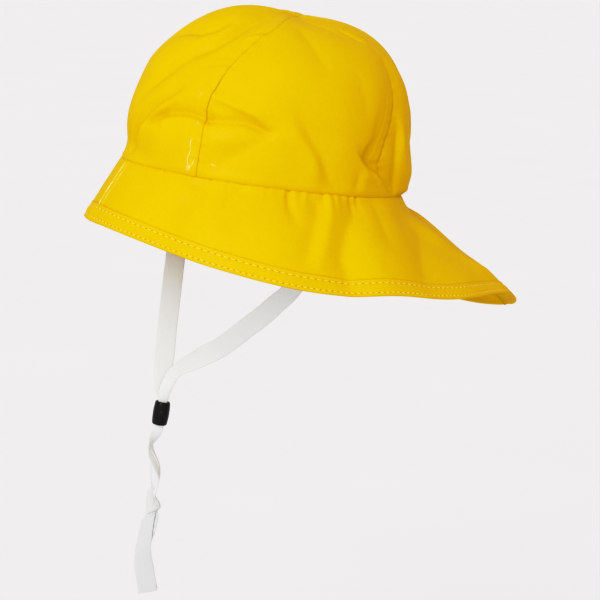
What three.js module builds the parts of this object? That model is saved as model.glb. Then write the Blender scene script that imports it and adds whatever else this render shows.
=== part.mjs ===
// Sou'wester rain hat: a soft four-panel crown, a brim that grows long at the back,
// and a flat elastic chin strap with a barrel cord lock and a knot.
// Millimetres, +Z up. The wearer looks along -Y and the wearer's left is +X.
// The origin is the middle of the head opening, where the crown is sewn to the brim.

import * as THREE from 'three';

// Head opening and crown
const HEAD_LENGTH = 200;
const HEAD_WIDTH = 175;
const CROWN_HEIGHT = 110.5;
const APEX_SETBACK = 10;
const HAT_TILT = 4;

// Brim, measured from the seam to the edge
const BRIM_FRONT = 46;
const BRIM_BACK = 122.5;
const HEM_WIDTH = 12.5;
const HEM_STEP = 1.5;
const TIP_ROLL = 9;

// Cloth
const CLOTH = 1.2;
const HEM_CLOTH = 2.4;
const SEWN_GAP = 0.3;

// Folds
const FOLD_DEPTH = 5;
const FOLD_WIDTH = 12;
const FOLD_START = 0.08;

// Chin strap
const STRAP_WIDTH = 14.5;
const STRAP_THICKNESS = 1;
const STRAP_CLEARANCE = 0.4;
const LOCK_DIAMETER = 12.4;
const LOCK_END_DIAMETER = 11;
const LOCK_LENGTH = 17.5;
const LOCK_BORE = 8;
const LOCK_AT = [-88, -31.55, -189];
const LOCK_LEAN = { x: -5, y: 2.2 };
const KNOT_WIDTH = 11.5;
const KNOT_HEIGHT = 19;
const KNOT_FLATNESS = 0.72;
const KNOT_TAPER = 0.25;
const KNOT_LOBES = 3;
const KNOT_LOBE_DEPTH = 0.1;
const KNOT_AT = [-88.6, -33.1, -256.5];

// Fineness of the faceted surfaces
const PANEL_COLUMNS = 14;
const PANEL_ROWS = 16;
const BRIM_COLUMNS = 34;
const BRIM_ROWS = 8;
const LOCK_SIDES = 20;

// Shape of a crown meridian at the front, side and back. Roundness shapes its plan radius and
// fullness its height, swell is a share of the opening and puff a share of the crown height.
// The swell ends at SWELL_TOP of the height, and the seams hold back SEAM_PULL of the puff.
const MERIDIAN = {
  front: { roundness: 3.4, fullness: 3.0, swell: 0.018, puff: 0.059 },
  side: { roundness: 2.3, fullness: 3.3, swell: -0.01, puff: 0 },
  back: { roundness: 3.1, fullness: 2.7, swell: 0.026, puff: 0.036 },
};
const SWELL_TOP = 0.6;
const SEAM_PULL = 0.6;
const SETBACK_CURVE = 1.5;
const ROW_CROWDING = 1.7;

// The four panels meet round a small gap at the apex, and the cloth turns level on its way there.
const APEX_RADIUS = 1.2;
const LEVEL_FROM = 0.85;
const LEVEL_AT = 0.95;

// Brim sections: angle from the front in degrees, growth from BRIM_FRONT to BRIM_BACK as a
// share, and the slope below level at the seam and at the edge in degrees.
const BRIM_SECTIONS = [
  { angle: 0, growth: 0, seamSlope: 60.5, edgeSlope: 68 },
  { angle: 30, growth: 0.058, seamSlope: 62.5, edgeSlope: 70.5 },
  { angle: 60, growth: 0.204, seamSlope: 61, edgeSlope: 68.5 },
  { angle: 90, growth: 0.35, seamSlope: 57, edgeSlope: 61 },
  { angle: 120, growth: 0.439, seamSlope: 49.5, edgeSlope: 48 },
  { angle: 150, growth: 0.648, seamSlope: 45, edgeSlope: 37 },
  { angle: 180, growth: 1, seamSlope: 34, edgeSlope: 27 },
];

// The brim's back tip is rolled: its left side lifts and its right side droops.
// Lift is a share of TIP_ROLL and spread is the fold's half width in degrees.
const TIP_FOLDS = [
  { angle: 161, spread: 15, lift: 0.9 },
  { angle: -170, spread: 25, lift: -1.85 },
];

// Folds of the crown. Each runs through three places, given as degrees from the front towards
// the wearer's left and climb from the seam (0) to the apex (1). Depth is a share of FOLD_DEPTH,
// negative where the cloth is pressed in, and width is a share of FOLD_WIDTH.
const CROWN_FOLDS = [
  { from: [23, 0.225], via: [45, 0.235], to: [67, 0.225], depth: -0.75, width: 0.6 },
  { from: [44, 0.3], via: [57, 0.275], to: [69, 0.22], depth: 0.5, width: 0.5 },
  { from: [33, 0.14], via: [46, 0.13], to: [58, 0.15], depth: 0.6, width: 1.2 },
  { from: [25, 0.33], via: [17, 0.245], to: [8, 0.12], depth: -0.5, width: 0.5 },
  { from: [29, 0.3], via: [21, 0.235], to: [12, 0.12], depth: 0.45, width: 0.5 },
  { from: [-40, 0.1], via: [-12, 0.1], to: [12, 0.08], depth: -0.6, width: 1.1 },
  { from: [8, 0.34], via: [24, 0.45], to: [36, 0.62], depth: -0.4, width: 0.6 },
  { from: [-6, 0.5], via: [14, 0.53], to: [25, 0.61], depth: -0.6, width: 0.6 },
  { from: [82, 0.27], via: [90, 0.19], to: [99, 0.05], depth: -0.45, width: 0.6 },
  { from: [80, 0.22], via: [86, 0.17], to: [93, 0.08], depth: 0.35, width: 0.8 },
  { from: [112, 0.24], via: [119, 0.2], to: [127, 0.2], depth: -1.2, width: 0.95 },
  { from: [114, 0.06], via: [121, 0.09], to: [126, 0.06], depth: 0.55, width: 0.8 },
  { from: [110, 0.4], via: [117, 0.33], to: [124, 0.28], depth: -0.5, width: 1.3 },
  { from: [137, 0.29], via: [135, 0.2], to: [138, 0.08], depth: -0.7, width: 0.7 },
  { from: [150, 0.14], via: [168, 0.13], to: [186, 0.13], depth: 0.7, width: 1.2 },
  { from: [-120, 0.84], via: [-92, 0.78], to: [-62, 0.84], depth: 1.2, width: 2.4 },
  { from: [-30, 0.26], via: [-50, 0.22], to: [-70, 0.2], depth: -0.7, width: 0.8 },
  { from: [-95, 0.3], via: [-104, 0.2], to: [-112, 0.07], depth: -0.7, width: 0.9 },
  { from: [-140, 0.33], via: [-150, 0.22], to: [-152, 0.08], depth: -0.6, width: 0.9 },
];

// Gathers and bends of the brim. Each runs through three places, given as degrees from the front
// towards the wearer's left and reach from the seam (0) to the edge (1). Depth and width are
// shares as above.
const BRIM_FOLDS = [
  { from: [51, 0], via: [47, 0.2], to: [44, 0.5], depth: -0.4, width: 0.7 },
  { from: [66, 0], via: [61, 0.15], to: [58, 0.35], depth: -0.25, width: 0.6 },
  { from: [82, 0], via: [83, 0.15], to: [85, 0.35], depth: -0.5, width: 0.5 },
  { from: [95, 0], via: [92, 0.25], to: [88, 0.65], depth: -0.75, width: 0.6 },
  { from: [109, 0], via: [101, 0.35], to: [97, 0.9], depth: -0.95, width: 0.65 },
  { from: [122, 0], via: [121, 0.25], to: [119, 0.5], depth: -0.35, width: 0.7 },
  { from: [146, 0.25], via: [135, 0.55], to: [129, 0.9], depth: -0.5, width: 1 },
  { from: [103, 0.3], via: [106, 0.6], to: [108, 0.9], depth: 0.35, width: 1.1 },
  { from: [150, 0.3], via: [156, 0.55], to: [160, 0.9], depth: 0.5, width: 1.3 },
  { from: [168, 0], via: [167, 0.2], to: [166, 0.5], depth: -0.4, width: 0.7 },
  { from: [-168, 0], via: [-170, 0.25], to: [-172, 0.6], depth: -0.5, width: 0.8 },
  { from: [-148, 0], via: [-150, 0.3], to: [-150, 0.8], depth: -0.6, width: 0.8 },
  { from: [-128, 0], via: [-126, 0.3], to: [-122, 0.9], depth: -0.8, width: 0.75 },
  { from: [-111, 0], via: [-108, 0.3], to: [-104, 0.7], depth: -0.7, width: 0.65 },
  { from: [-95, 0], via: [-91, 0.25], to: [-88, 0.6], depth: -0.7, width: 0.6 },
  { from: [-80, 0], via: [-80, 0.15], to: [-79, 0.35], depth: -0.4, width: 0.5 },
  { from: [-55, 0], via: [-51, 0.2], to: [-47, 0.5], depth: -0.4, width: 0.7 },
];

// Routes of the straps. Each row is a place on the middle line, the compass turn that the flat
// side looks towards in degrees from the front, and width and thickness as shares of the strap's.
const STRAP_RIGHT_ROUTE = [
  { at: [-81.7, -27.8, 1.8], turn: 104, width: 1, thickness: 1 },
  { at: [-82, -27.9, -6], turn: 104, width: 1, thickness: 1 },
  { at: [-83.2, -28.3, -24], turn: 99, width: 1, thickness: 1 },
  { at: [-84.9, -28.9, -48], turn: 86, width: 1, thickness: 1 },
  { at: [-86.5, -29.7, -76], turn: 73, width: 1, thickness: 1 },
  { at: [-87.4, -30.7, -103], turn: 68, width: 1, thickness: 1 },
  { at: [-87.9, -31.6, -126], turn: 68, width: 1, thickness: 1 },
  { at: [-88.4, -31.8, -145], turn: 68, width: 1, thickness: 1 },
  { at: [-88.9, -32.2, -158], turn: 68, width: 0.92, thickness: 1 },
  { at: [-89, -32.2, -168], turn: 68, width: 0.72, thickness: 1.3 },
];
const STRAP_LEFT_ROUTE = [
  { at: [84.4, 13.6, -0.6], turn: 97, width: 1, thickness: 1 },
  { at: [84.2, 13.6, -8], turn: 97, width: 1, thickness: 1 },
  { at: [82.6, 13.6, -20], turn: 96, width: 1, thickness: 1 },
  { at: [77.6, 12.4, -40], turn: 94, width: 1, thickness: 1 },
  { at: [68, 10, -58], turn: 90, width: 1, thickness: 1 },
  { at: [53, 6.5, -73.5], turn: 84, width: 1, thickness: 1 },
  { at: [38, 3.1, -84.6], turn: 76, width: 1, thickness: 1 },
  { at: [22.7, -0.2, -95.8], turn: 70, width: 1, thickness: 1 },
  { at: [4.1, -4.4, -107.9], turn: 68, width: 1, thickness: 1 },
  { at: [-14.3, -8.4, -120.1], turn: 66, width: 1, thickness: 1 },
  { at: [-31, -12, -130], turn: 60, width: 1, thickness: 1 },
  { at: [-47, -16, -138], turn: 40, width: 1, thickness: 1 },
  { at: [-61, -19.4, -145], turn: 5, width: 0.95, thickness: 1 },
  { at: [-73, -23.4, -151.6], turn: -8, width: 0.9, thickness: 1 },
  { at: [-80.6, -27.4, -159.5], turn: 20, width: 0.8, thickness: 1.1 },
  { at: [-84.5, -30.2, -169], turn: 50, width: 0.62, thickness: 1.4 },
];

// Below here both straps run together, flat on each other, through the lock and down to the knot.
const PAIR_ROUTE = [
  { at: [-87.6, -30.7, -178.5], turn: 68, width: 0.46, thickness: 2.1 },
  { at: [-87.8, -31.1, -184], turn: 68, width: 0.4, thickness: 2.3 },
  { at: [-88.2, -32, -194], turn: 68, width: 0.4, thickness: 2.3 },
  { at: [-88.5, -32.9, -200.5], turn: 68, width: 0.46, thickness: 2 },
  { at: [-89.1, -34.2, -205.5], turn: 82, width: 0.62, thickness: 1.4 },
  { at: [-89.8, -36.2, -211.5], turn: 130, width: 0.66, thickness: 1.3 },
  { at: [-90, -36.9, -216.2], turn: 158, width: 0.7, thickness: 1.2 },
  { at: [-89.6, -35.8, -220.6], turn: 182, width: 0.74, thickness: 1.2 },
  { at: [-89, -34.2, -226.6], turn: 205, width: 0.76, thickness: 1.2 },
  { at: [-88.3, -32.6, -234], turn: 222, width: 0.7, thickness: 1.3 },
  { at: [-88.4, -32.8, -241], turn: 240, width: 0.54, thickness: 1.5 },
  { at: [-88.6, -33.1, -246.6], turn: 248, width: 0.42, thickness: 1.8 },
];
const TAIL_FRONT_ROUTE = [
  { at: [-88.1, -33.7, -266.4], turn: 68, width: 0.5, thickness: 1.3 },
  { at: [-88.6, -35.2, -271], turn: 68, width: 0.62, thickness: 1 },
  { at: [-88.9, -36.5, -280], turn: 66, width: 0.74, thickness: 1 },
  { at: [-89.3, -37.6, -289.5], turn: 64, width: 0.8, thickness: 1 },
  { at: [-89.3, -37.8, -296], turn: 66, width: 0.88, thickness: 1 },
  { at: [-89, -36.9, -304], turn: 68, width: 0.95, thickness: 1 },
  { at: [-88.6, -35.8, -312], turn: 68, width: 1, thickness: 1 },
  { at: [-87.7, -33.7, -321], turn: 68, width: 1, thickness: 1 },
  { at: [-87.3, -32.8, -326], turn: 68, width: 1, thickness: 1 },
];
const TAIL_BACK_ROUTE = [
  { at: [-89.8, -32.6, -266.4], turn: 68, width: 0.5, thickness: 1.3 },
  { at: [-90.2, -33.4, -271], turn: 68, width: 0.62, thickness: 1 },
  { at: [-90.4, -34.6, -280], turn: 66, width: 0.74, thickness: 1 },
  { at: [-90.8, -35.8, -289.5], turn: 64, width: 0.8, thickness: 1 },
  { at: [-90.8, -36, -296], turn: 66, width: 0.88, thickness: 1 },
  { at: [-90.5, -35.1, -304], turn: 68, width: 0.95, thickness: 1 },
  { at: [-90.1, -34, -312], turn: 68, width: 1, thickness: 1 },
  { at: [-89.2, -31.9, -321], turn: 68, width: 1, thickness: 1 },
  { at: [-88.8, -31, -325], turn: 68, width: 1, thickness: 1 },
];

const degrees = THREE.MathUtils.degToRad;

// Value that follows the front, side and back numbers smoothly round the head.
function blendAround(angle, front, side, back) {
  const mean = (front + 2 * side + back) / 4;
  const lean = (front - back) / 2;
  const pinch = (front - 2 * side + back) / 4;
  return mean + lean * Math.cos(angle) + pinch * Math.cos(2 * angle);
}

// Smooth value between start and end, with its slopes taken from the values on either side
function smoothValue(before, start, end, after, share) {
  const left = 1 - share;
  const startSlope = (end - before) / 2;
  const endSlope = (after - start) / 2;
  const values = start * (1 + 2 * share) * left ** 2 + end * (1 + 2 * left) * share ** 2;
  return values + startSlope * share * left ** 2 - endSlope * left * share ** 2;
}

function openingPoint(angle) {
  const x = (HEAD_WIDTH / 2) * Math.sin(angle);
  const y = (-HEAD_LENGTH / 2) * Math.cos(angle);
  return new THREE.Vector3(x, y, 0);
}

// Crown surface before its folds
function smoothCrown(angle, climb) {
  const { front, side, back } = MERIDIAN;
  const around = (name) => blendAround(angle, front[name], side[name], back[name]);
  const rise = climb ** ROW_CROWDING;
  const turn = (rise / (rise + (1 - climb) ** ROW_CROWDING)) * (Math.PI / 2);
  const height = Math.sin(turn) ** (2 / around('fullness'));
  const lower = Math.min(height / SWELL_TOP, 1);
  const narrowing = Math.max(Math.cos(turn), 0) ** (2 / around('roundness'));
  const radius = narrowing + around('swell') * Math.sin(Math.PI * lower);
  const betweenSeams = 1 - SEAM_PULL * Math.sin(2 * angle) ** 2;
  const puff = around('puff') * Math.max(4 * radius * (1 - radius), 0) * height ** 4;
  const place = openingPoint(angle).multiplyScalar(radius);
  place.y += APEX_SETBACK * height ** SETBACK_CURVE;
  place.z = CROWN_HEIGHT * (height + puff * betweenSeams);
  return place;
}

function brimSection(angle) {
  const turn = Math.abs(THREE.MathUtils.radToDeg(Math.atan2(Math.sin(angle), Math.cos(angle))));
  const last = BRIM_SECTIONS.length - 1;
  let index = 0;
  while (index < last - 1 && turn > BRIM_SECTIONS[index + 1].angle) index += 1;
  const near = (offset) => BRIM_SECTIONS[last - Math.abs(last - Math.abs(index + offset))];
  const rows = [near(-1), near(0), near(1), near(2)];
  const share = (turn - rows[1].angle) / (rows[2].angle - rows[1].angle);
  const smooth = (name) => smoothValue(...rows.map((row) => row[name]), share);
  return {
    length: BRIM_FRONT + (BRIM_BACK - BRIM_FRONT) * smooth('growth'),
    seamSlope: degrees(smooth('seamSlope')),
    edgeSlope: degrees(smooth('edgeSlope')),
  };
}

function tipLift(angle, reach) {
  let lift = 0;
  for (const fold of TIP_FOLDS) {
    const away = angle - degrees(fold.angle);
    const turn = Math.atan2(Math.sin(away), Math.cos(away)) / degrees(fold.spread);
    lift += fold.lift * Math.exp(-turn * turn);
  }
  return TIP_ROLL * lift * reach ** 3;
}

// Brim surface before its folds
function smoothBrim(angle, reach) {
  const { length, seamSlope, edgeSlope } = brimSection(angle);
  const bend = edgeSlope - seamSlope;
  const steps = 8;
  let out = 0;
  let down = 0;
  for (let step = 0; step < steps; step += 1) {
    const slope = seamSlope + bend * reach * ((step + 0.5) / steps);
    out += (length * reach * Math.cos(slope)) / steps;
    down += (length * reach * Math.sin(slope)) / steps;
  }
  const place = openingPoint(angle);
  const outward = new THREE.Vector3(Math.sin(angle) / HEAD_WIDTH, -Math.cos(angle) / HEAD_LENGTH, 0);
  place.addScaledVector(outward.normalize(), out);
  place.z += tipLift(angle, reach) - down;
  return place;
}

// Outward normal of a surface given as place(angle, along)
function outwardNormal(surface, angle, along) {
  const step = 0.004;
  const low = Math.max(along - step, 0);
  const high = Math.min(along + step, 0.995);
  const across = surface(angle + step, along).sub(surface(angle - step, along));
  const up = surface(angle, high).sub(surface(angle, low));
  const normal = across.cross(up).normalize();
  if (surface !== smoothCrown) return normal.negate();
  const nearApex = THREE.MathUtils.smoothstep(along, LEVEL_FROM, LEVEL_AT);
  return normal.lerp(new THREE.Vector3(0, 0, 1), nearApex).normalize();
}

// A fold as a bent line of places on the smooth surface
function foldLines(table, surface) {
  return table.map((fold) => {
    const ends = [fold.from, fold.via, fold.to].map(([angle, along]) => surface(degrees(angle), along));
    return {
      spans: [new THREE.Line3(ends[0], ends[1]), new THREE.Line3(ends[1], ends[2])],
      depth: fold.depth * FOLD_DEPTH,
      width: fold.width * FOLD_WIDTH,
    };
  });
}

function foldOffset(place, lines) {
  let offset = 0;
  const closest = new THREE.Vector3();
  for (const line of lines) {
    const gaps = line.spans.map((span) => span.closestPointToPoint(place, true, closest).distanceTo(place));
    const away = Math.min(...gaps) / line.width;
    offset += line.depth * Math.exp(-away * away);
  }
  return offset;
}

const crownLines = foldLines(CROWN_FOLDS, smoothCrown);
const brimLines = foldLines(BRIM_FOLDS, smoothBrim);

// The cloth is held at the seams, so folds fade out there.
function crownPlace(angle, climb, inset) {
  const place = smoothCrown(angle, climb);
  const held = Math.min(climb / FOLD_START, 1);
  const offset = foldOffset(place, crownLines) * held - inset;
  return place.addScaledVector(outwardNormal(smoothCrown, angle, climb), offset);
}

function brimPlace(angle, reach, inset) {
  const place = smoothBrim(angle, reach);
  const held = Math.min(reach / FOLD_START, 1);
  const offset = foldOffset(place, brimLines) * held - inset;
  return place.addScaledVector(outwardNormal(smoothBrim, angle, reach), offset);
}

// Closed wall from two grids of places, outer and inner, given as rows of equal length
function wallGeometry(outer, inner) {
  const rows = outer.length;
  const columns = outer[0].length;
  const positions = [...outer.flat(), ...inner.flat()].flatMap((place) => place.toArray());
  const toInner = rows * columns;
  const faces = [];
  const quad = (a, b, c, d) => faces.push(a, b, c, a, c, d);
  const rim = (a, b) => quad(a, b, b + toInner, a + toInner);
  for (let row = 0; row < rows - 1; row += 1) {
    const first = row * columns;
    for (let corner = first; corner < first + columns - 1; corner += 1) {
      const above = corner + columns;
      const inside = corner + toInner;
      const insideAbove = above + toInner;
      quad(corner, corner + 1, above + 1, above);
      quad(inside, insideAbove, insideAbove + 1, inside + 1);
    }
    rim(first, first + columns);
    rim(first + 2 * columns - 1, first + columns - 1);
  }
  const top = (rows - 1) * columns;
  for (let column = 0; column < columns - 1; column += 1) {
    rim(column + 1, column);
    rim(top + column, top + column + 1);
  }
  const geometry = new THREE.BufferGeometry();
  geometry.setAttribute('position', new THREE.Float32BufferAttribute(positions, 3));
  geometry.setIndex(faces);
  geometry.computeVertexNormals();
  return geometry;
}

// Angle that keeps half of the sewn gap beside a seam at this plan radius
function gapTurn(radius) {
  return Math.asin(Math.min(SEWN_GAP / 2 / radius, 0.5));
}

// Climb at which a meridian comes within APEX_RADIUS of the apex
function topClimb(angle) {
  const share = APEX_RADIUS / openingPoint(angle).length();
  const { front, side, back } = MERIDIAN;
  const roundness = blendAround(angle, front.roundness, side.roundness, back.roundness);
  const turn = Math.acos(share ** (roundness / 2)) / (Math.PI / 2);
  return 1 / (1 + ((1 - turn) / turn) ** (1 / ROW_CROWDING));
}

// One crown panel between two seams a quarter turn apart
function crownPanelGeometry(seamAngle) {
  const baseClimb = SEWN_GAP / CROWN_HEIGHT / 2;
  const outer = [];
  const inner = [];
  for (let row = 0; row <= PANEL_ROWS; row += 1) {
    const outerRow = [];
    const innerRow = [];
    for (let column = 0; column <= PANEL_COLUMNS; column += 1) {
      const side = 2 * (column / PANEL_COLUMNS) - 1;
      const angle = degrees(seamAngle + 45 + 45 * side);
      const climb = baseClimb + (topClimb(angle) - baseClimb) * (row / PANEL_ROWS);
      const centre = smoothCrown(angle, 1);
      const flat = smoothCrown(angle, climb).sub(centre).setZ(0).length();
      const turn = angle - side * gapTurn(flat);
      outerRow.push(crownPlace(turn, climb, 0));
      innerRow.push(crownPlace(turn, climb, CLOTH));
    }
    outer.push(outerRow);
    inner.push(innerRow);
  }
  return wallGeometry(outer, inner);
}

// Reach rows of the brim: even down to the hem, then the hem's step and its edge
function brimRows(length) {
  const hemStart = 1 - HEM_WIDTH / length;
  const seamStart = SEWN_GAP / length;
  const rows = [];
  for (let row = 0; row <= BRIM_ROWS; row += 1) {
    rows.push({ reach: seamStart + (hemStart - seamStart) * (row / BRIM_ROWS), thick: CLOTH });
  }
  rows.push({ reach: hemStart + HEM_STEP / length, thick: HEM_CLOTH });
  rows.push({ reach: 1, thick: HEM_CLOTH });
  return rows;
}

// One half of the brim, from the front seam round to the back seam
function brimHalfGeometry(startAngle) {
  const columns = [];
  for (let column = 0; column <= BRIM_COLUMNS; column += 1) {
    const share = column / BRIM_COLUMNS;
    const side = 2 * share - 1;
    const angle = degrees(startAngle + 180 * share);
    const { length } = brimSection(angle);
    const radius = openingPoint(angle).length();
    const edge = Math.abs(side) === 1 ? side * gapTurn(radius) : 0;
    columns.push({ angle: angle - edge, rows: brimRows(length) });
  }
  const rowCount = columns[0].rows.length;
  const outer = [];
  const inner = [];
  for (let row = rowCount - 1; row >= 0; row -= 1) {
    const outerRow = [];
    const innerRow = [];
    for (const { angle, rows } of columns) {
      const { reach, thick } = rows[row];
      const proud = (thick - CLOTH) / 2;
      outerRow.push(brimPlace(angle, reach, -proud));
      innerRow.push(brimPlace(angle, reach, CLOTH + proud));
    }
    outer.push(outerRow);
    inner.push(innerRow);
  }
  return wallGeometry(outer, inner);
}

// A strap's own route and then the shared one, in front of its middle line or behind it
function pairedRoute(route, layer) {
  return [...route, ...PAIR_ROUTE.map((row) => ({ ...row, layer }))];
}

// Stations along a route, each with its centre and its flat section's two half axes
function routeStations(route, stepsPerRow) {
  const stations = [];
  const last = route.length - 1;
  for (let index = 0; index < last; index += 1) {
    const near = (offset) => route[Math.min(Math.max(index + offset, 0), last)];
    const steps = index === last - 1 ? stepsPerRow + 1 : stepsPerRow;
    for (let step = 0; step < steps; step += 1) {
      const share = step / stepsPerRow;
      const rows = [near(-1), near(0), near(1), near(2)];
      const value = (read) => smoothValue(...rows.map(read), share);
      const place = [0, 1, 2].map((axis) => value((row) => row.at[axis]));
      stations.push({
        centre: new THREE.Vector3(...place),
        turn: degrees(value((row) => row.turn)),
        width: STRAP_WIDTH * value((row) => row.width),
        thickness: STRAP_THICKNESS * value((row) => row.thickness),
        layer: value((row) => row.layer ?? 0),
      });
    }
  }
  return stations;
}

// Flat strap with chamfered edges that follows its route
function strapGeometry(route, stepsPerRow) {
  const stations = routeStations(route, stepsPerRow);
  const section = [
    [-1, -0.5], [-0.8, -1], [0.8, -1], [1, -0.5],
    [1, 0.5], [0.8, 1], [-0.8, 1], [-1, 0.5],
  ];
  const positions = [];
  stations.forEach((station, index) => {
    const before = stations[Math.max(index - 1, 0)].centre;
    const after = stations[Math.min(index + 1, stations.length - 1)].centre;
    const along = after.clone().sub(before).normalize();
    const face = new THREE.Vector3(Math.sin(station.turn), -Math.cos(station.turn), 0);
    const across = along.clone().cross(face).normalize();
    const proud = across.clone().cross(along).normalize();
    const layerOffset = (station.layer * (station.thickness + STRAP_CLEARANCE)) / 2;
    for (const [wide, thick] of section) {
      const place = station.centre.clone().addScaledVector(proud, layerOffset);
      place.addScaledVector(across, (wide * station.width) / 2);
      place.addScaledVector(proud, (thick * station.thickness) / 2);
      positions.push(...place.toArray());
    }
  });
  const sides = section.length;
  const faces = [];
  for (let ring = 0; ring < stations.length - 1; ring += 1) {
    for (let side = 0; side < sides; side += 1) {
      const next = (side + 1) % sides;
      const a = ring * sides + side;
      const b = ring * sides + next;
      faces.push(a, b + sides, b, a, a + sides, b + sides);
    }
  }
  const lastRing = (stations.length - 1) * sides;
  for (let side = 1; side < sides - 1; side += 1) {
    faces.push(0, side, side + 1);
    faces.push(lastRing, lastRing + side + 1, lastRing + side);
  }
  const geometry = new THREE.BufferGeometry();
  geometry.setAttribute('position', new THREE.Float32BufferAttribute(positions, 3));
  geometry.setIndex(faces);
  geometry.computeVertexNormals();
  return geometry;
}

// Barrel of the cord lock with its bore, turned about its own length
function lockGeometry() {
  const half = LOCK_LENGTH / 2;
  const bore = LOCK_BORE / 2;
  const rim = LOCK_END_DIAMETER / 2;
  const belly = LOCK_DIAMETER / 2;
  const round = (rim - bore) / 3;
  const profile = [
    [bore, -half + round], [bore + round, -half], [rim - round, -half], [rim, -half + round],
    [belly, 0],
    [rim, half - round], [rim - round, half], [bore + round, half], [bore, half - round],
    [bore, -half + round],
  ].map(([radius, height]) => new THREE.Vector2(radius, height));
  const geometry = new THREE.LatheGeometry(profile, LOCK_SIDES);
  geometry.rotateX(Math.PI / 2);
  return geometry;
}

// Rounded lump of the knot, wider at its lower right where the loop pulls through
function knotGeometry() {
  const geometry = new THREE.IcosahedronGeometry(1, 3);
  const places = geometry.getAttribute('position');
  const place = new THREE.Vector3();
  for (let index = 0; index < places.count; index += 1) {
    place.fromBufferAttribute(places, index);
    const around = Math.atan2(place.y, place.x);
    const waist = 1 - KNOT_TAPER * place.z + KNOT_LOBE_DEPTH * Math.sin(KNOT_LOBES * around);
    place.x *= (KNOT_WIDTH / 2) * KNOT_FLATNESS * waist;
    place.y *= (KNOT_WIDTH / 2) * waist;
    place.z *= KNOT_HEIGHT / 2;
    places.setXYZ(index, place.x, place.y, place.z);
  }
  geometry.deleteAttribute('uv');
  geometry.computeVertexNormals();
  return geometry;
}

const coatedCloth = new THREE.MeshStandardMaterial({ color: 0xf0cf00, roughness: 0.38, metalness: 0 });
const elastic = new THREE.MeshStandardMaterial({ color: 0xf2f2ee, roughness: 0.85, metalness: 0 });
const blackPlastic = new THREE.MeshStandardMaterial({ color: 0x121212, roughness: 0.3, metalness: 0 });

function piece(name, geometry, material, parent) {
  const mesh = new THREE.Mesh(geometry, material);
  mesh.name = name;
  parent.add(mesh);
  return mesh;
}

const souwester = new THREE.Group();
const cloth = new THREE.Group();
cloth.rotation.x = -degrees(HAT_TILT);
souwester.add(cloth);

const CROWN_PANELS = [
  { name: 'crown_front_panel', seamAngle: -45 },
  { name: 'crown_left_panel', seamAngle: 45 },
  { name: 'crown_back_panel', seamAngle: 135 },
  { name: 'crown_right_panel', seamAngle: 225 },
];
for (const { name, seamAngle } of CROWN_PANELS) {
  piece(name, crownPanelGeometry(seamAngle), coatedCloth, cloth);
}
piece('brim_left', brimHalfGeometry(0), coatedCloth, cloth);
piece('brim_right', brimHalfGeometry(180), coatedCloth, cloth);

piece('strap_right', strapGeometry(pairedRoute(STRAP_RIGHT_ROUTE, -1), 3), elastic, souwester);
piece('strap_left', strapGeometry(pairedRoute(STRAP_LEFT_ROUTE, 1), 3), elastic, souwester);
piece('strap_tail_front', strapGeometry(TAIL_FRONT_ROUTE, 3), elastic, souwester);
piece('strap_tail_back', strapGeometry(TAIL_BACK_ROUTE, 3), elastic, souwester);

const lock = piece('cord_lock', lockGeometry(), blackPlastic, souwester);
lock.position.set(...LOCK_AT);
lock.rotation.set(degrees(LOCK_LEAN.x), degrees(LOCK_LEAN.y), 0);
const knot = piece('strap_knot', knotGeometry(), elastic, souwester);
knot.position.set(...KNOT_AT);

export default souwester;
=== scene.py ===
import math

import bmesh
import bpy
import numpy as np
from mathutils import Matrix, Vector


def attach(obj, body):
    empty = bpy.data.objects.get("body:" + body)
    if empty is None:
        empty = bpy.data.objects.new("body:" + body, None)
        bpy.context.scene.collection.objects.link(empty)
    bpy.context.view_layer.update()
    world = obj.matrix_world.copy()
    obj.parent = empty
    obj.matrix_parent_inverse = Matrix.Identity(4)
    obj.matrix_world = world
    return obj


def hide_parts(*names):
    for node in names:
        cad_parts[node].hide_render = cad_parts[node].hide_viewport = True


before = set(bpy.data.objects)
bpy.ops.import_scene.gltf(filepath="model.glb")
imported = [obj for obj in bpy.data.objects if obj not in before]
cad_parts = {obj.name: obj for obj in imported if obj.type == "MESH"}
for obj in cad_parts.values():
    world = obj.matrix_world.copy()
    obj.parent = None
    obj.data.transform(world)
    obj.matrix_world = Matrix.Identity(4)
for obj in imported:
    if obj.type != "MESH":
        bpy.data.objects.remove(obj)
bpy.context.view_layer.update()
scene = bpy.context.scene

# Lengths are in millimetres until a mesh is made. The cloth is worked out in the hat's own frame,
# which is tilted back by HAT_TILT, and the strap in the part's frame.
MM = 0.001
HEAD_LENGTH, HEAD_WIDTH, CROWN_HEIGHT = 200, 175, 110.5
APEX_SETBACK, SETBACK_CURVE, HAT_TILT = 10, 1.5, 4
BRIM_FRONT, BRIM_BACK, HEM_WIDTH, TIP_ROLL = 46, 122.5, 12.5, 9
CLOTH, HEM_PROUD = 1.1, 0.45
STRAP_WIDTH, STRAP_THICKNESS, STRAP_CLEARANCE, RIBBON_THICKNESS = 14.5, 1, 0.4, 0.8

# Camera, placed as the photograph sees the hat
AZIMUTH, ELEVATION, ROLL, DISTANCE = 68, 9, 4.5, 1.8
METRES_A_PIXEL, ORIGIN_PIXEL, FRAME_PIXELS, SENSOR = 0.0007, (261.8, 175.5), 600, 36


def direction(azimuth, elevation):
    """Unit vector towards these angles in degrees."""
    azimuth, elevation = math.radians(azimuth), math.radians(elevation)
    flat = math.cos(elevation)
    return Vector((math.sin(azimuth) * flat, -math.cos(azimuth) * flat, math.sin(elevation)))


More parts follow.
